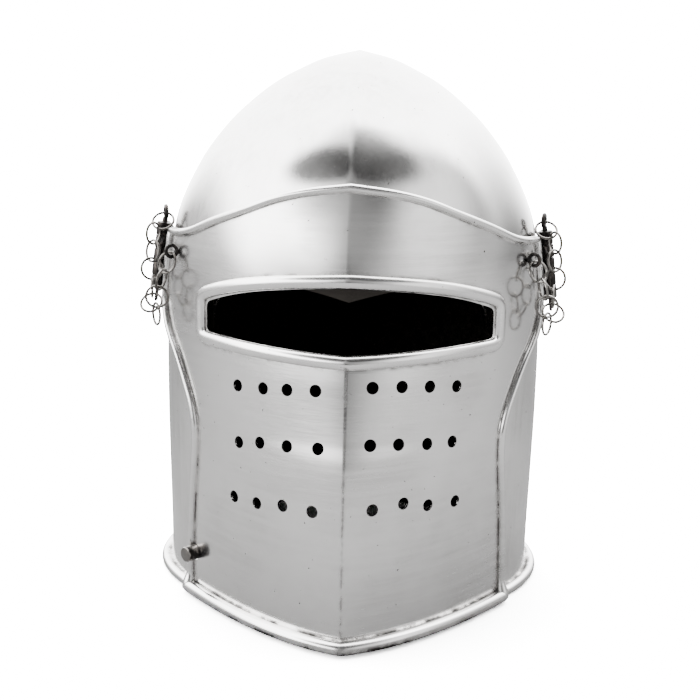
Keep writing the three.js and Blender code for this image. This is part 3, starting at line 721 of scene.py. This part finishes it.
# %% Forged iron as a node group
forging, start, end = new_group(
    "forged_iron",
    {
        "Scale": ("Color", (0.006, 0.005, 0.0045, 1)),
        "Bare": ("Color", (0.055, 0.048, 0.044, 1)),
        "Worn": ("Float", 0.5),
        "Roughness": ("Float", 0.42),
    },
)
place = wire(forging, "TexCoord").outputs["Object"]
patches = noise(forging, place, 150.0, 4.0, 0.6)
hammer = noise(forging, place, 320.0, 2.0, 0.5)
pits = noise(forging, place, 1100.0, 3.0, 0.6)
worn = calculate(forging, "MULTIPLY", start["Worn"], 0.3)
bared = from_to(forging, calculate(forging, "ADD", patches, worn), 0.55, 0.78)
iron_colour = mix_colours(forging, bared, start["Scale"], start["Bare"])
smoother = calculate(forging, "MULTIPLY", bared, 0.1)
roughness = calculate(forging, "SUBTRACT", start["Roughness"], smoother)
roughness = calculate(forging, "ADD", roughness, from_to(forging, pits, 0.3, 0.8, -0.06, 0.12))
height = calculate(forging, "ADD", hammer, calculate(forging, "MULTIPLY", pits, 0.35))
feed(
    forging, end, Color=iron_colour, Roughness=roughness, Height=height,
    Metallic=from_to(forging, bared, 0.0, 1.0, 0.75, 1.0),
)
print("forged_iron has", len(forging.nodes), "nodes")


# %% Materials
def finish(name, group, bump, **values):
    """A material whose shader takes its values from a node group."""
    material = bpy.data.materials.new(name)
    material.use_nodes = True
    tree = material.node_tree
    shader = tree.nodes["Principled BSDF"]
    effect = wire(tree, "Group", {"node_tree": group}, **values).outputs
    relief = wire(tree, "Bump", Strength=1.0, Distance=bump * MM, Height=effect["Height"])
    feed(
        tree, shader, Base_Color=effect["Color"], Roughness=effect["Roughness"],
        Metallic=effect["Metallic"], Normal=relief.outputs["Normal"],
    )
    return material


ACROSS = (0.05, 0.05, 1.0)  # polished from side to side
UPWARD = (1.0, 1.0, 0.07)  # polished from rim to apex
skull_steel = finish("skull_steel", polish, 0.004, Strokes=UPWARD, Roughness=0.16)
visor_steel = finish("visor_steel", polish, 0.004, Strokes=ACROSS, Roughness=0.2)
inner_painted_shade = finish(
    "inner_painted_shade", forging, 0.25, Roughness=0.7,
    Scale=(0.004, 0.0035, 0.003, 1), Bare=(0.02, 0.017, 0.014, 1),
)
# Inside, the iron is painted nearly black as shade: no metal shines through, and hardly any gloss
inner_shader = inner_painted_shade.node_tree.nodes["Principled BSDF"]
inner_painted_shade.node_tree.links.remove(inner_shader.inputs["Metallic"].links[0])
inner_shader.inputs["Metallic"].default_value = 0
inner_shader.inputs["Specular IOR Level"].default_value = 0.1
hinge_iron = finish("hinge_iron", forging, 0.18)
stud_iron = finish("stud_iron", forging, 0.08, Bare=(0.3, 0.28, 0.26, 1), Worn=0.35)
bright_wire = finish(
    "bright_wire", polish, 0.01, Roughness=0.24,
    Bright=(0.2, 0.19, 0.18, 1), Dull=(0.05, 0.045, 0.04, 1),
)
print("materials:", [material.name for material in bpy.data.materials if material.users])

# %% [markdown]
# ## The skull
# The bowl is one sheet: a grid laid round the head from the back of the neck, over both ears, to
# the back again, and up to the apex. A Solidify modifier gives it its wall, and its inner side is
# painted nearly black, as shade. The face opening is then sawn out with a straight punch, and the
# holes drilled.

# %% Skull
SKULL_COLUMNS = 176
SKULL_ROWS = 104
PIVOT = Vector((0, 18, 200))
LINING_HOLE_RADIUS = 1.6
LINING_HOLE_ANGLE = 78 * DEG
LINING_HOLE_HEIGHT = 133
LINING_HOLE_REACH = 9
STUD_RADIUS = 4.5
STUD_HEIGHT = 27.5
STUD_ANGLE = 48 * DEG
STUD_PROUD = 8
STUD_HOLE_REACH = 6


def bent(first, handle, last, steps=14):
    """Points of a quadratic curve from first to last, without the last one."""
    ends = list(zip(first, handle, last))
    return [
        tuple((1 - t) ** 2 * a + 2 * t * (1 - t) * h + t**2 * b for a, h, b in ends)
        for t in (i / steps for i in range(steps))
    ]


def face_opening():
    """Outline of the face opening, seen from the front: three curves down each side."""
    low = -2 * RIM_RADIUS
    top = BROW_POINT + BROW_LIFT
    eyes, jaw = EYES_HALF_WIDTH, JAW_HALF_WIDTH
    half = (
        bent((0, BROW_POINT), (0.35 * eyes, top), (0.6 * eyes, top))
        + bent((0.6 * eyes, top), (eyes, top), (eyes, 0.9 * BROW_POINT))
        + bent((eyes, 0.9 * BROW_POINT), (eyes, 0.5 * BROW_POINT), (jaw, low))
        + [(jaw, low)]
    )
    return half + [(-x, z) for x, z in reversed(half[1:])]


stud_foot = skull_at(-STUD_ANGLE, STUD_HEIGHT)
stud_row = place_of(SKULL_SECTIONS, "rise", STUD_HEIGHT / SKULL_HEIGHT)
stud_axis = skull_normal(-STUD_ANGLE, stud_row)
stud_axis.z = 0
stud_axis.normalize()

skull = sheet_mesh(
    SKULL_COLUMNS, SKULL_ROWS,
    lambda a, b: skull_point((2 * a - 1) * math.pi, b * (len(SKULL_SECTIONS) - 1)),
)
punch = bmesh.new()
face_punch(punch, face_opening())
drill(punch, stud_foot, stud_axis, STUD_RADIUS + CLEARANCE, STUD_HOLE_REACH)
lining = skull_at(LINING_HOLE_ANGLE, LINING_HOLE_HEIGHT)
for side in (-1, 1):
    hole = Vector((side * lining.x, lining.y, lining.z))
    drill(punch, hole, Vector((1, 0, 0)), LINING_HOLE_RADIUS, LINING_HOLE_REACH)
skull = punched_plate("skull", skull, SKULL_WALL, punch)
print("skull plate:", len(skull.faces), "faces")

# %% [markdown]
# The lower edge of the bowl is rolled outwards over a wire. The roll is a bead of its own along
# the edge: full round where it shows, and thin under the visor, so that the visor can close over
# it.

# %% Rolled rim of the skull
# Painted shade at the point of the brow, which lies in shadow behind the slit
BROW_PAINTED_SHADE = 20.0  # so much that it covers the steel
BROW_PAINTED_SHADE_FROM = 46  # it begins this far from the point of the brow
BROW_PAINTED_SHADE_FULL = 12  # and is full here
ROLL_TOUCH = 1.12  # what is nearer to a roll's middle than this many radii is the roll itself
ROLL_SHADE_PATINA = (-0.45, 0.3)  # heights on a roll, in radii, between which its patina and painted shade end


def rim_path(steps=220):
    """The way of the rolled rim, from one side of the face opening round to the other."""
    end = angle_at_x(skull_at, JAW_HALF_WIDTH + HIDDEN_RIM_RADIUS, RIM_RADIUS)
    path = []
    for i in range(steps + 1):
        turn = end + (2 * math.pi - 2 * end) * i / steps
        angle = turn - 2 * math.pi if turn > math.pi else turn
        radius = HIDDEN_RIM_RADIUS + (RIM_RADIUS - HIDDEN_RIM_RADIUS) * rim_shown(angle)
        normal = skull_normal(angle, 0)
        normal.z = 0
        normal.normalize()
        at = skull_point(angle, 0) + normal * (radius - SKULL_WALL)
        at.z = radius
        path.append((at, normal, radius, radius))
    return path


def shade_patina_layer(mesh):
    return mesh.verts.layers.float.get("shade_patina_mask") or mesh.verts.layers.float.new("shade_patina_mask")


def shade_patina_beside(mesh, points, reach=0.9):
    """Marks how much patina and painted shade lie at each vertex: most of it in the crease right
    beside a roll.
    """
    layer = shade_patina_layer(mesh)
    tree = kdtree.KDTree(len(points))
    for i, item in enumerate(points):
        tree.insert(item[0], i)
    tree.balance()
    for vert in mesh.verts:
        _, i, distance = tree.find(vert.co)
        at, normal, across, proud = points[i]
        lift = (vert.co - at).dot(normal) / proud
        if distance < ROLL_TOUCH * max(across, proud):
            mark = 1 - smoothstep(lift, *ROLL_SHADE_PATINA)
        else:
            mark = math.exp(-(((distance - across) / reach) ** 2))
        vert[layer] = max(vert[layer], mark)


# Patina and painted shade go into the crease along the rolled rim
path = rim_path()
rim = roll(path)
shade(rim)
skull = join(skull, rim)
shade_patina_beside(skull, path)
layer = shade_patina_layer(skull)
brow = skull_at(0, BROW_POINT)
for vert in skull.verts:  # painted shade on the point of the brow, behind the slit
    away = (vert.co - brow).length
    mark = BROW_PAINTED_SHADE * (1 - smoothstep(away, BROW_PAINTED_SHADE_FULL, BROW_PAINTED_SHADE_FROM))
    vert[layer] = max(vert[layer], mark)
finishes = [skull_steel, inner_painted_shade]
skull_object = add_piece("skull_plate", skull, "bowl", ["skull"], finishes)
print("skull:", len(skull_object.data.polygons), "faces", skull_object.dimensions)

# %% [markdown]
# ## The visor
# The visor is a second sheet. Its ridge is a real crease in the surface, so it stays sharp in the
# middle and dies away at the cheeks. The slit and the breaths are punched through the finished
# wall, which leaves clean walls in the holes. The corners of the slit are filed round first, by
# moving each point of the outline towards its neighbours a few times.

# %% Visor plate
VISOR_COLUMNS = 192
VISOR_ROWS = 136
FILING_STROKES = 3  # how often the corners of the slit's cut are rounded
HAMMER_STROKES = 9  # and those of its lip
STUD_HOLE_FROM = 1.5  # the visor's hole for the stud is punched from this far off the skull


def slit_outline(grow, strokes, step=1.5):
    """The slit seen from the front. Each stroke rounds its corners a little more."""
    half = SLIT_HALF_WIDTH + grow
    count = 2 * round(half / step)
    across = [-1 + 2 * i / count for i in range(count + 1)]
    below = [(t * half, SLIT_BOTTOM - SLIT_SAG * (1 - abs(t)) - grow) for t in across]
    arch = [column_at(SLIT_ARCH, "rise", place_of(SLIT_ARCH, "x", abs(t))) for t in across]
    above = [
        (t * half, SLIT_BOTTOM + (SLIT_TOP - SLIT_BOTTOM) * rise + grow)
        for t, rise in zip(across, arch)
    ]
    low, end_height = below[-1][1], above[-1][1] - below[-1][1]
    end_steps = round(end_height / step)
    rise = [low + end_height * i / end_steps for i in range(1, end_steps)]
    points = below + [(half, z) for z in rise] + above[::-1] + [(-half, z) for z in reversed(rise)]
    for _ in range(strokes):
        points = [
            tuple((a + 2 * b + c) / 4 for a, b, c in zip(before, point, after))
            for before, point, after in zip(points[-1:] + points, points, points[1:] + points[:1])
        ]
    return points


def visor_spot(x, z):
    """The point of the visor behind a place in the front view, and its normal."""
    angle = angle_at_x(visor_at, x, z)
    normal = visor_normal(angle, z)
    if abs(x) < 1e-6:
        normal.x = 0
        normal.normalize()
    return visor_at(angle, z), normal


def along_stud(distance):
    return stud_foot + stud_axis * distance


def is_behind_visor(distance):
    """Whether a point of the stud's axis lies behind the visor's face."""
    point = along_stud(distance)
    return point.y > visor_spot(point.x, STUD_HEIGHT)[0].y


stud_tip = halve(0.0, 3.0 * VISOR_RIDGE, is_behind_visor)[0] + STUD_PROUD
visor = sheet_mesh(VISOR_COLUMNS, VISOR_ROWS, lambda a, b: visor_point(2 * a - 1, b))
punch = bmesh.new()
face_punch(punch, slit_outline(0, FILING_STROKES))
for x, z in BREATHS:
    drill(punch, *visor_spot(x, z), BREATH_RADIUS, 3 * VISOR_WALL)
half_tip = stud_tip / 2
hole_radius = STUD_RADIUS + 2 * CLEARANCE
drill(punch, along_stud(STUD_HOLE_FROM + half_tip), stud_axis, hole_radius, half_tip)
visor = punched_plate("visor", visor, VISOR_WALL, punch)
print("visor plate:", len(visor.faces), "faces; stud tip", round(stud_tip, 2), "mm out")

# %% [markdown]
# Three beads finish the visor's edges: a thick roll at the chin, a thinner one up the sides and
# over the brow, and a broad low lip round the slit, which stops a blade from sliding in.

# %% Rolled edges and slit lip
# A darker line along the lower ridge, and a darker band under the chin's roll
RIDGE_DARKENING = 0.9
RIDGE_DARKENING_WIDTH = (0.2, 1.3)  # full up to the first distance, and gone at the second
CHIN_DARKENING = 1.6
CHIN_DARKENING_HEIGHT = (2, 1.8 * CHIN_ROLL_RADIUS)
CORNER_PASSAGE = 0.05  # share of the height over which the chin's roll thins to the side's


def visor_edge_path(across=150, upward=110):
    """The way of the rolled edge: along the chin, up a side, over the brow and down again."""
    path = []

    def put(u, v):
        thinning = smoothstep(v, 0, CORNER_PASSAGE)
        radius = CHIN_ROLL_RADIUS + (SIDE_ROLL_RADIUS - CHIN_ROLL_RADIUS) * thinning
        normal = grid_normal(u, v)
        at = visor_point(u, v) + normal * (radius - VISOR_WALL)
        path.append((at, normal, radius, radius))

    chin = [-1 + 2 * i / across for i in range(across + 1)]
    side = [i / upward for i in range(1, upward)]
    for u in chin:
        put(u, 0)
    for v in side:
        put(1, v)
    for u in reversed(chin):
        put(u, 1)
    for v in reversed(side):
        put(-1, v)
    return path


def slit_lip_path():
    """The way of the lip, half its width outside the slit."""
    path = []
    for x, z in slit_outline(SLIT_LIP_WIDTH / 2, HAMMER_STROKES):
        at, normal = visor_spot(x, z)
        at += normal * (SLIT_LIP_HEIGHT / 2 - VISOR_WALL)
        path.append((at, normal, SLIT_LIP_WIDTH / 2, SLIT_LIP_HEIGHT / 2))
    return path


paths = [visor_edge_path(), slit_lip_path()]
for path in paths:
    bead = roll(path, closed=True)
    shade(bead)
    visor = join(visor, bead)
shade_patina_beside(visor, paths[0] + paths[1])
layer = shade_patina_layer(visor)
for vert in visor.verts:  # a darker line along the lower ridge, and darker steel under the chin's roll
    x, z = abs(vert.co.x), vert.co.z
    if z < SLIT_BOTTOM - SLIT_LIP_WIDTH:
        vert[layer] = max(
            vert[layer],
            RIDGE_DARKENING * (1 - smoothstep(x, *RIDGE_DARKENING_WIDTH)),
            CHIN_DARKENING * (1 - smoothstep(z, *CHIN_DARKENING_HEIGHT)),
        )
finishes = [visor_steel, inner_painted_shade]
visor_object = add_piece("visor_plate", visor, "visor", ["visor"], finishes)
print("visor:", len(visor_object.data.polygons), "faces", visor_object.dimensions)

# %% [markdown]
# ## Hinges
# Each side has a hinge at the temple: an arm turns on a rivet in the skull, and its front end and a
# leaf on the visor share a barrel of five knuckles. Forged iron has no sharp edges, so every piece
# is bevelled. A piece is made for the wearer's left and then mirrored for the right.

# %% Hinge sizes and places
PIVOT_SHANK = 3
PIVOT_COLLAR = 5
PIVOT_HEAD = 7.5
PIVOT_HEAD_HEIGHT = 3
SHANK_INSIDE = 2.75  # how far the rivet's shank stands out inside the bowl
COLLAR_GAP = 0.6  # between the collar and the bowl
OVERLAP = 1  # how far a bar runs on into the piece that it carries
ARM_THICKNESS = 2
ARM_HALF_WIDTH = 9
ARM_INSET = 1.6
BARREL_FORWARD = 24
BARREL_TOP = 218
BARREL_LENGTH = 40
BARREL_LEAN = 7.5 * DEG
BARREL_RADIUS = 4.4
BARREL_OUT = 7.4
KNUCKLES = 5
LEAF_LENGTH = 5
LEAF_THICKNESS = 1.4
SQUARE = 45 * DEG  # edges sharper than this are rounded off

barrel_up = Vector((-math.sin(BARREL_LEAN), 0, math.cos(BARREL_LEAN)))
barrel_outward = Vector((math.cos(BARREL_LEAN), 0, math.sin(BARREL_LEAN)))
barrel_head = visor_at(VISOR_SECTIONS[-1].edge * DEG, BARREL_TOP)
barrel_head.x += BARREL_OUT
barrel_head.y = -BARREL_FORWARD
HALF_BARREL = BARREL_LENGTH / 2


def down_barrel(distance):
    """A point of the barrel's axis, below its top end."""
    return barrel_head - barrel_up * distance


def rod(mesh, start, end, radius, rounding=0.0, sides=24):
    """Adds a round bar between two points, with its end edges rounded."""
    axis = end - start
    made = bmesh.ops.create_cone(
        mesh, cap_ends=True, segments=sides, radius1=radius, radius2=radius, depth=axis.length,
        matrix=upended((start + end) / 2, axis),
    )
    if rounding:
        verts = set(made["verts"])
        rims = [
            edge for edge in mesh.edges
            if set(edge.verts) <= verts and edge.calc_face_angle(0) > SQUARE
        ]
        bevelled(mesh, rims, rounding)


def spun(mesh, made, at, direction, steps):
    """Spins a profile round Z, stands it up along a direction and adds it to the mesh."""
    bmesh.ops.spin(
        made, geom=made.verts[:] + made.edges[:], cent=(0, 0, 0), axis=(0, 0, 1),
        angle=2 * math.pi, steps=steps, use_merge=True,
    )
    bmesh.ops.remove_doubles(made, verts=made.verts, dist=1e-4)
    bmesh.ops.transform(made, matrix=upended(at, direction), verts=made.verts)
    bmesh.ops.recalc_face_normals(made, faces=made.faces)
    return join(mesh, made)


def turned(mesh, profile, start, direction, sides=40):
    """Adds a turned piece: a profile of (radius, distance) spun round an axis."""
    made = bmesh.new()
    spots = [made.verts.new((radius, 0, along)) for radius, along in profile]
    for one, two in zip(spots, spots[1:]):
        made.edges.new((one, two))
    return spun(mesh, made, start, direction, sides)


def leaning_plate(outline, inner, thickness, rounding=0.35):
    """A plate that leans with the barrel, from an outline of (y, height on the barrel)."""
    plate = bmesh.new()
    origin = down_barrel(HALF_BARREL) + barrel_outward * inner
    spots = [Vector((origin.x, y, origin.z)) + barrel_up * along for y, along in outline]
    pull(plate, spots, barrel_outward * thickness)
    rims = [edge for edge in plate.edges if edge.calc_face_angle(0) > SQUARE]
    bevelled(plate, rims, rounding)
    return plate


def knuckles(mesh, first):
    """Adds every second knuckle of the barrel."""
    length = BARREL_LENGTH / KNUCKLES
    for k in range(first, KNUCKLES, 2):
        start = down_barrel(k * length + CLEARANCE / 2)
        end = down_barrel((k + 1) * length - CLEARANCE / 2)
        rod(mesh, start, end, BARREL_RADIUS, rounding=0.5)


def add_pair(name, mesh, body, node, materials):
    """Makes a piece for the wearer's left and its mirrored twin for the right."""
    shade(mesh)
    for side, half in (("left", mesh), ("right", mirrored(mesh))):
        add_piece(f"{name}_on_{side}", half, body, [f"{node}_{side}"], materials)


print("barrel runs from", down_barrel(0), "to", down_barrel(BARREL_LENGTH))

# %% Arms, leaves and temple rivets
pivot_rise = (PIVOT.z - down_barrel(HALF_BARREL).z) / math.cos(BARREL_LEAN)
neck = -BARREL_FORWARD + 1.5 * BARREL_RADIUS
round_end = [math.radians(a) for a in range(-110, 111, 10)]
arm_outline = [
    (-BARREL_FORWARD, HALF_BARREL), (-BARREL_FORWARD, -HALF_BARREL), (neck, -HALF_BARREL),
    *((PIVOT.y + ARM_HALF_WIDTH * math.cos(a), pivot_rise + ARM_HALF_WIDTH * math.sin(a))
      for a in round_end),
    (neck, HALF_BARREL),
]
arm = leaning_plate(arm_outline, -ARM_INSET, ARM_THICKNESS)
knuckles(arm, 0)
add_pair("hinge_arm", arm, "visor", "visor_arm", [hinge_iron])

leaf_end = -BARREL_FORWARD - BARREL_RADIUS - LEAF_LENGTH
leaf = leaning_plate(
    [
        (-BARREL_FORWARD, 0.7 * HALF_BARREL),
        (leaf_end, 0.4 * HALF_BARREL),
        (leaf_end, -0.7 * HALF_BARREL),
        (-BARREL_FORWARD, -0.9 * HALF_BARREL),
    ],
    -LEAF_THICKNESS, LEAF_THICKNESS,
)
knuckles(leaf, 1)
add_pair("hinge_leaf", leaf, "visor", "visor_leaf", [hinge_iron])

slope = math.tan(BARREL_LEAN)
arm_x = (down_barrel(HALF_BARREL) - barrel_outward * ARM_INSET).x
arm_inner_x = arm_x - (PIVOT.z - down_barrel(HALF_BARREL).z) * slope
temple = math.pi / 2 + math.asin(PIVOT.y / SKULL_REAR)
wall_x = skull_at(temple, PIVOT.z).x
head_from = arm_inner_x + ARM_THICKNESS / math.cos(BARREL_LEAN) + PIVOT_HEAD * slope + CLEARANCE
collar_to = arm_inner_x - PIVOT_COLLAR * slope - CLEARANCE
# The head's outline, as shares of its radius and its height
HEAD_OUTLINE = ((0, 0), (1, 0), (0.98, 0.16), (0.88, 0.5), (0.65, 0.8), (0.35, 0.95), (0, 1))


def on_pivot(x):
    return Vector((x, PIVOT.y, PIVOT.z))


rivet = bmesh.new()
rod(rivet, on_pivot(wall_x - SKULL_WALL - SHANK_INSIDE), on_pivot(head_from + OVERLAP), PIVOT_SHANK)
rivet = turned(
    rivet, [(r * PIVOT_HEAD, h * PIVOT_HEAD_HEIGHT) for r, h in HEAD_OUTLINE],
    on_pivot(head_from), Vector((1, 0, 0)),
)
rod(rivet, on_pivot(wall_x + COLLAR_GAP), on_pivot(collar_to), PIVOT_COLLAR)
add_pair("temple_stud", rivet, "bowl", "temple_rivet", [hinge_iron])
print("temple rivets stand out to", round(head_from + PIVOT_HEAD_HEIGHT, 1), "mm")

# %% [markdown]
# ## Pins, staples and chains
# The pin of each hinge pulls out, to take the visor off. A chain keeps it from getting lost: it
# hangs from the ring eye of the pin and comes back up to a staple on the visor. Each ring hangs its
# own way down and lies nearly square to the one before it, turned on just far enough to clear it.

# %% Rings and the route of a chain
HINGE_PIN_RADIUS = 1.6
EYE_RADIUS = 3.3
EYE_WIRE = 1.25
EYE_RISE = 6
TAIL_LENGTH = 7.5
TAIL_WIDTH = 4.6
TAIL_THICKNESS = 1.5
LINK_RADIUS = 6.2
LINK_WIRE = 0.75
LINK_PITCH = 2 * (LINK_RADIUS - LINK_WIRE - CLEARANCE)
STAPLE_RADIUS = 3.3
STAPLE_WIRE = 1.1
STAPLE_ANGLE = 61 * DEG
STAPLE_HEIGHT = 204
EYE_TURN = 17.2 * DEG  # how far the pin's eye is turned from the side to the front
PIN_FALL_TWIST = -17.2 * DEG  # what each ring turns beyond square to the one before it
STAPLE_FALL_TWIST = 22.4 * DEG
eye_facing = Vector((math.cos(EYE_TURN), -math.sin(EYE_TURN), 0))

# The way from each ring to the next: out from the head, ahead and down
FROM_PIN = (
    (0.19, 0.9, 1), (0.69, 1.01, 1), (0.02, 0.23, 1),
    (0.03, 0.2, 1), (-0.04, 0.15, 1), (-0.05, 0.67, 1),
)
FROM_STAPLE = ((0.36, 0.22, 1), (0.3, 0.36, 1), (0.27, 0.01, 1))


def hang_rings(start, inner, ways):
    """Ring centres of one fall, hung from an eye with this inner radius."""
    centres, at = [], start
    for i, (out, forward, down) in enumerate(ways):
        way = Vector((out, -forward, -down)).normalized()
        reach = LINK_PITCH if i else LINK_RADIUS + inner - LINK_WIRE - 2 * CLEARANCE
        at = at + way * reach
        centres.append(at)
    return centres


def ring(mesh, centre, normal, radius, wire_radius, around=36, sides=10):
    """Adds a ring of round wire: a circle spun round the ring's axis."""
    made = bmesh.new()
    bmesh.ops.create_circle(
        made, segments=sides, radius=wire_radius,
        matrix=Matrix.Translation((radius, 0, 0)) @ Matrix.Rotation(math.pi / 2, 4, "X"),
    )
    return spun(mesh, made, centre, normal, around)


eye_centre = down_barrel(-EYE_RISE)
staple_foot = visor_at(STAPLE_ANGLE, STAPLE_HEIGHT)
staple_normal = visor_normal(STAPLE_ANGLE, STAPLE_HEIGHT)
staple_centre = staple_foot + staple_normal * (STAPLE_RADIUS + STAPLE_WIRE)
pin_fall = hang_rings(eye_centre, EYE_RADIUS - EYE_WIRE, FROM_PIN)
staple_fall = hang_rings(staple_centre, STAPLE_RADIUS - STAPLE_WIRE, FROM_STAPLE)
gap = staple_fall[-1] - pin_fall[-1]
downward = Vector((0, 0, -1))
downward -= gap.normalized() * downward.dot(gap.normalized())
drop = math.sqrt(max(0, LINK_PITCH**2 - (gap.length / 2) ** 2))
lowest = (pin_fall[-1] + staple_fall[-1]) / 2 + downward.normalized() * drop
ring_centres = pin_fall + [lowest] + staple_fall[::-1]
stops = [eye_centre] + ring_centres + [staple_centre]
facing = eye_facing
rings = []
for i, centre in enumerate(ring_centres):
    along = (stops[i + 2] - stops[i]).normalized()
    facing = along.cross(facing).normalized()
    facing.rotate(Quaternion(along, PIN_FALL_TWIST if i < len(pin_fall) else STAPLE_FALL_TWIST))
    if i == len(pin_fall):  # the lowest ring lies in the plane of its neighbours
        facing = (stops[i] - centre).cross(stops[i + 2] - centre).normalized()
    rings.append((centre, facing))
print("rings on each side:", len(rings))

# %% Pins, staples and rings
pin = bmesh.new()
pin_end = down_barrel(BARREL_LENGTH + OVERLAP)
rod(pin, down_barrel(EYE_RADIUS - EYE_RISE), pin_end, HINGE_PIN_RADIUS, 0.2)
pin = ring(pin, eye_centre, eye_facing, EYE_RADIUS, EYE_WIRE)
tail = bmesh.new()
bmesh.ops.create_cube(tail, size=1)
bmesh.ops.scale(tail, vec=(TAIL_THICKNESS, TAIL_WIDTH, TAIL_LENGTH), verts=tail.verts)
bevelled(tail, tail.edges[:], 0.4)
lean = Matrix.Rotation(-BARREL_LEAN, 3, "Y")
bmesh.ops.rotate(tail, cent=(0, 0, 0), matrix=lean, verts=tail.verts)
tail_middle = down_barrel(BARREL_LENGTH + CLEARANCE + TAIL_LENGTH / 2)
bmesh.ops.translate(tail, vec=tail_middle, verts=tail.verts)
add_pair("pin", join(pin, tail), "visor", "hinge_pin", [hinge_iron])

staple = bmesh.new()
staple_facing = staple_normal.cross(Vector((0, 0, 1)))
rod(
    staple, staple_foot + staple_normal * CLEARANCE, staple_foot + staple_normal * 2 * STAPLE_WIRE,
    1.6 * STAPLE_WIRE, 0.3,
)
staple = ring(staple, staple_centre, staple_facing, STAPLE_RADIUS, STAPLE_WIRE)
add_pair("staple", staple, "visor", "chain_staple", [hinge_iron])

for i, (centre, normal) in enumerate(rings, start=1):
    link = ring(bmesh.new(), centre, normal, LINK_RADIUS, LINK_WIRE)
    add_pair(f"link_{i}", link, "visor", f"chain_ring_{i}", [bright_wire])
print("chain rings placed:", 2 * len(rings))

# %% [markdown]
# ## The catch
# A round stud on a spring sits in the skull and comes through a hole in the visor. It is pushed in
# with a finger to free the visor. Its end is worn bright, and its shaft is black.

# %% Stud
STUD_FLANGE = 1.6
STUD_FLANGE_WIDTH = 1.3
STUD_EDGE = 0.7
stud_base = -SKULL_WALL - 2 * CLEARANCE - STUD_FLANGE_WIDTH - STUD_FLANGE
stud_length = stud_tip - stud_base
flange_radius = STUD_RADIUS + STUD_FLANGE_WIDTH
stud = turned(
    bmesh.new(),
    [
        (0, 0), (flange_radius, 0), (flange_radius, STUD_FLANGE),
        (STUD_RADIUS, STUD_FLANGE), (STUD_RADIUS, stud_length - STUD_EDGE),
        (STUD_RADIUS - 0.3 * STUD_EDGE, stud_length - 0.3 * STUD_EDGE),
        (STUD_RADIUS - STUD_EDGE, stud_length), (0, stud_length),
    ],
    along_stud(stud_base), stud_axis,
)
for face in stud.faces:
    centre = face.calc_center_median() - along_stud(stud_base)
    if centre.dot(stud_axis) > stud_length - STUD_EDGE:
        face.material_index = 1
shade(stud)
add_piece("stud", stud, "catch", ["catch_stud"], [stud_iron, bright_wire])

# %% Finish
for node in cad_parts.values():  # the cup behind the stud is shown as its plain solid
    if not node.hide_render:
        node.data.materials.clear()
        node.data.materials.append(hinge_iron)
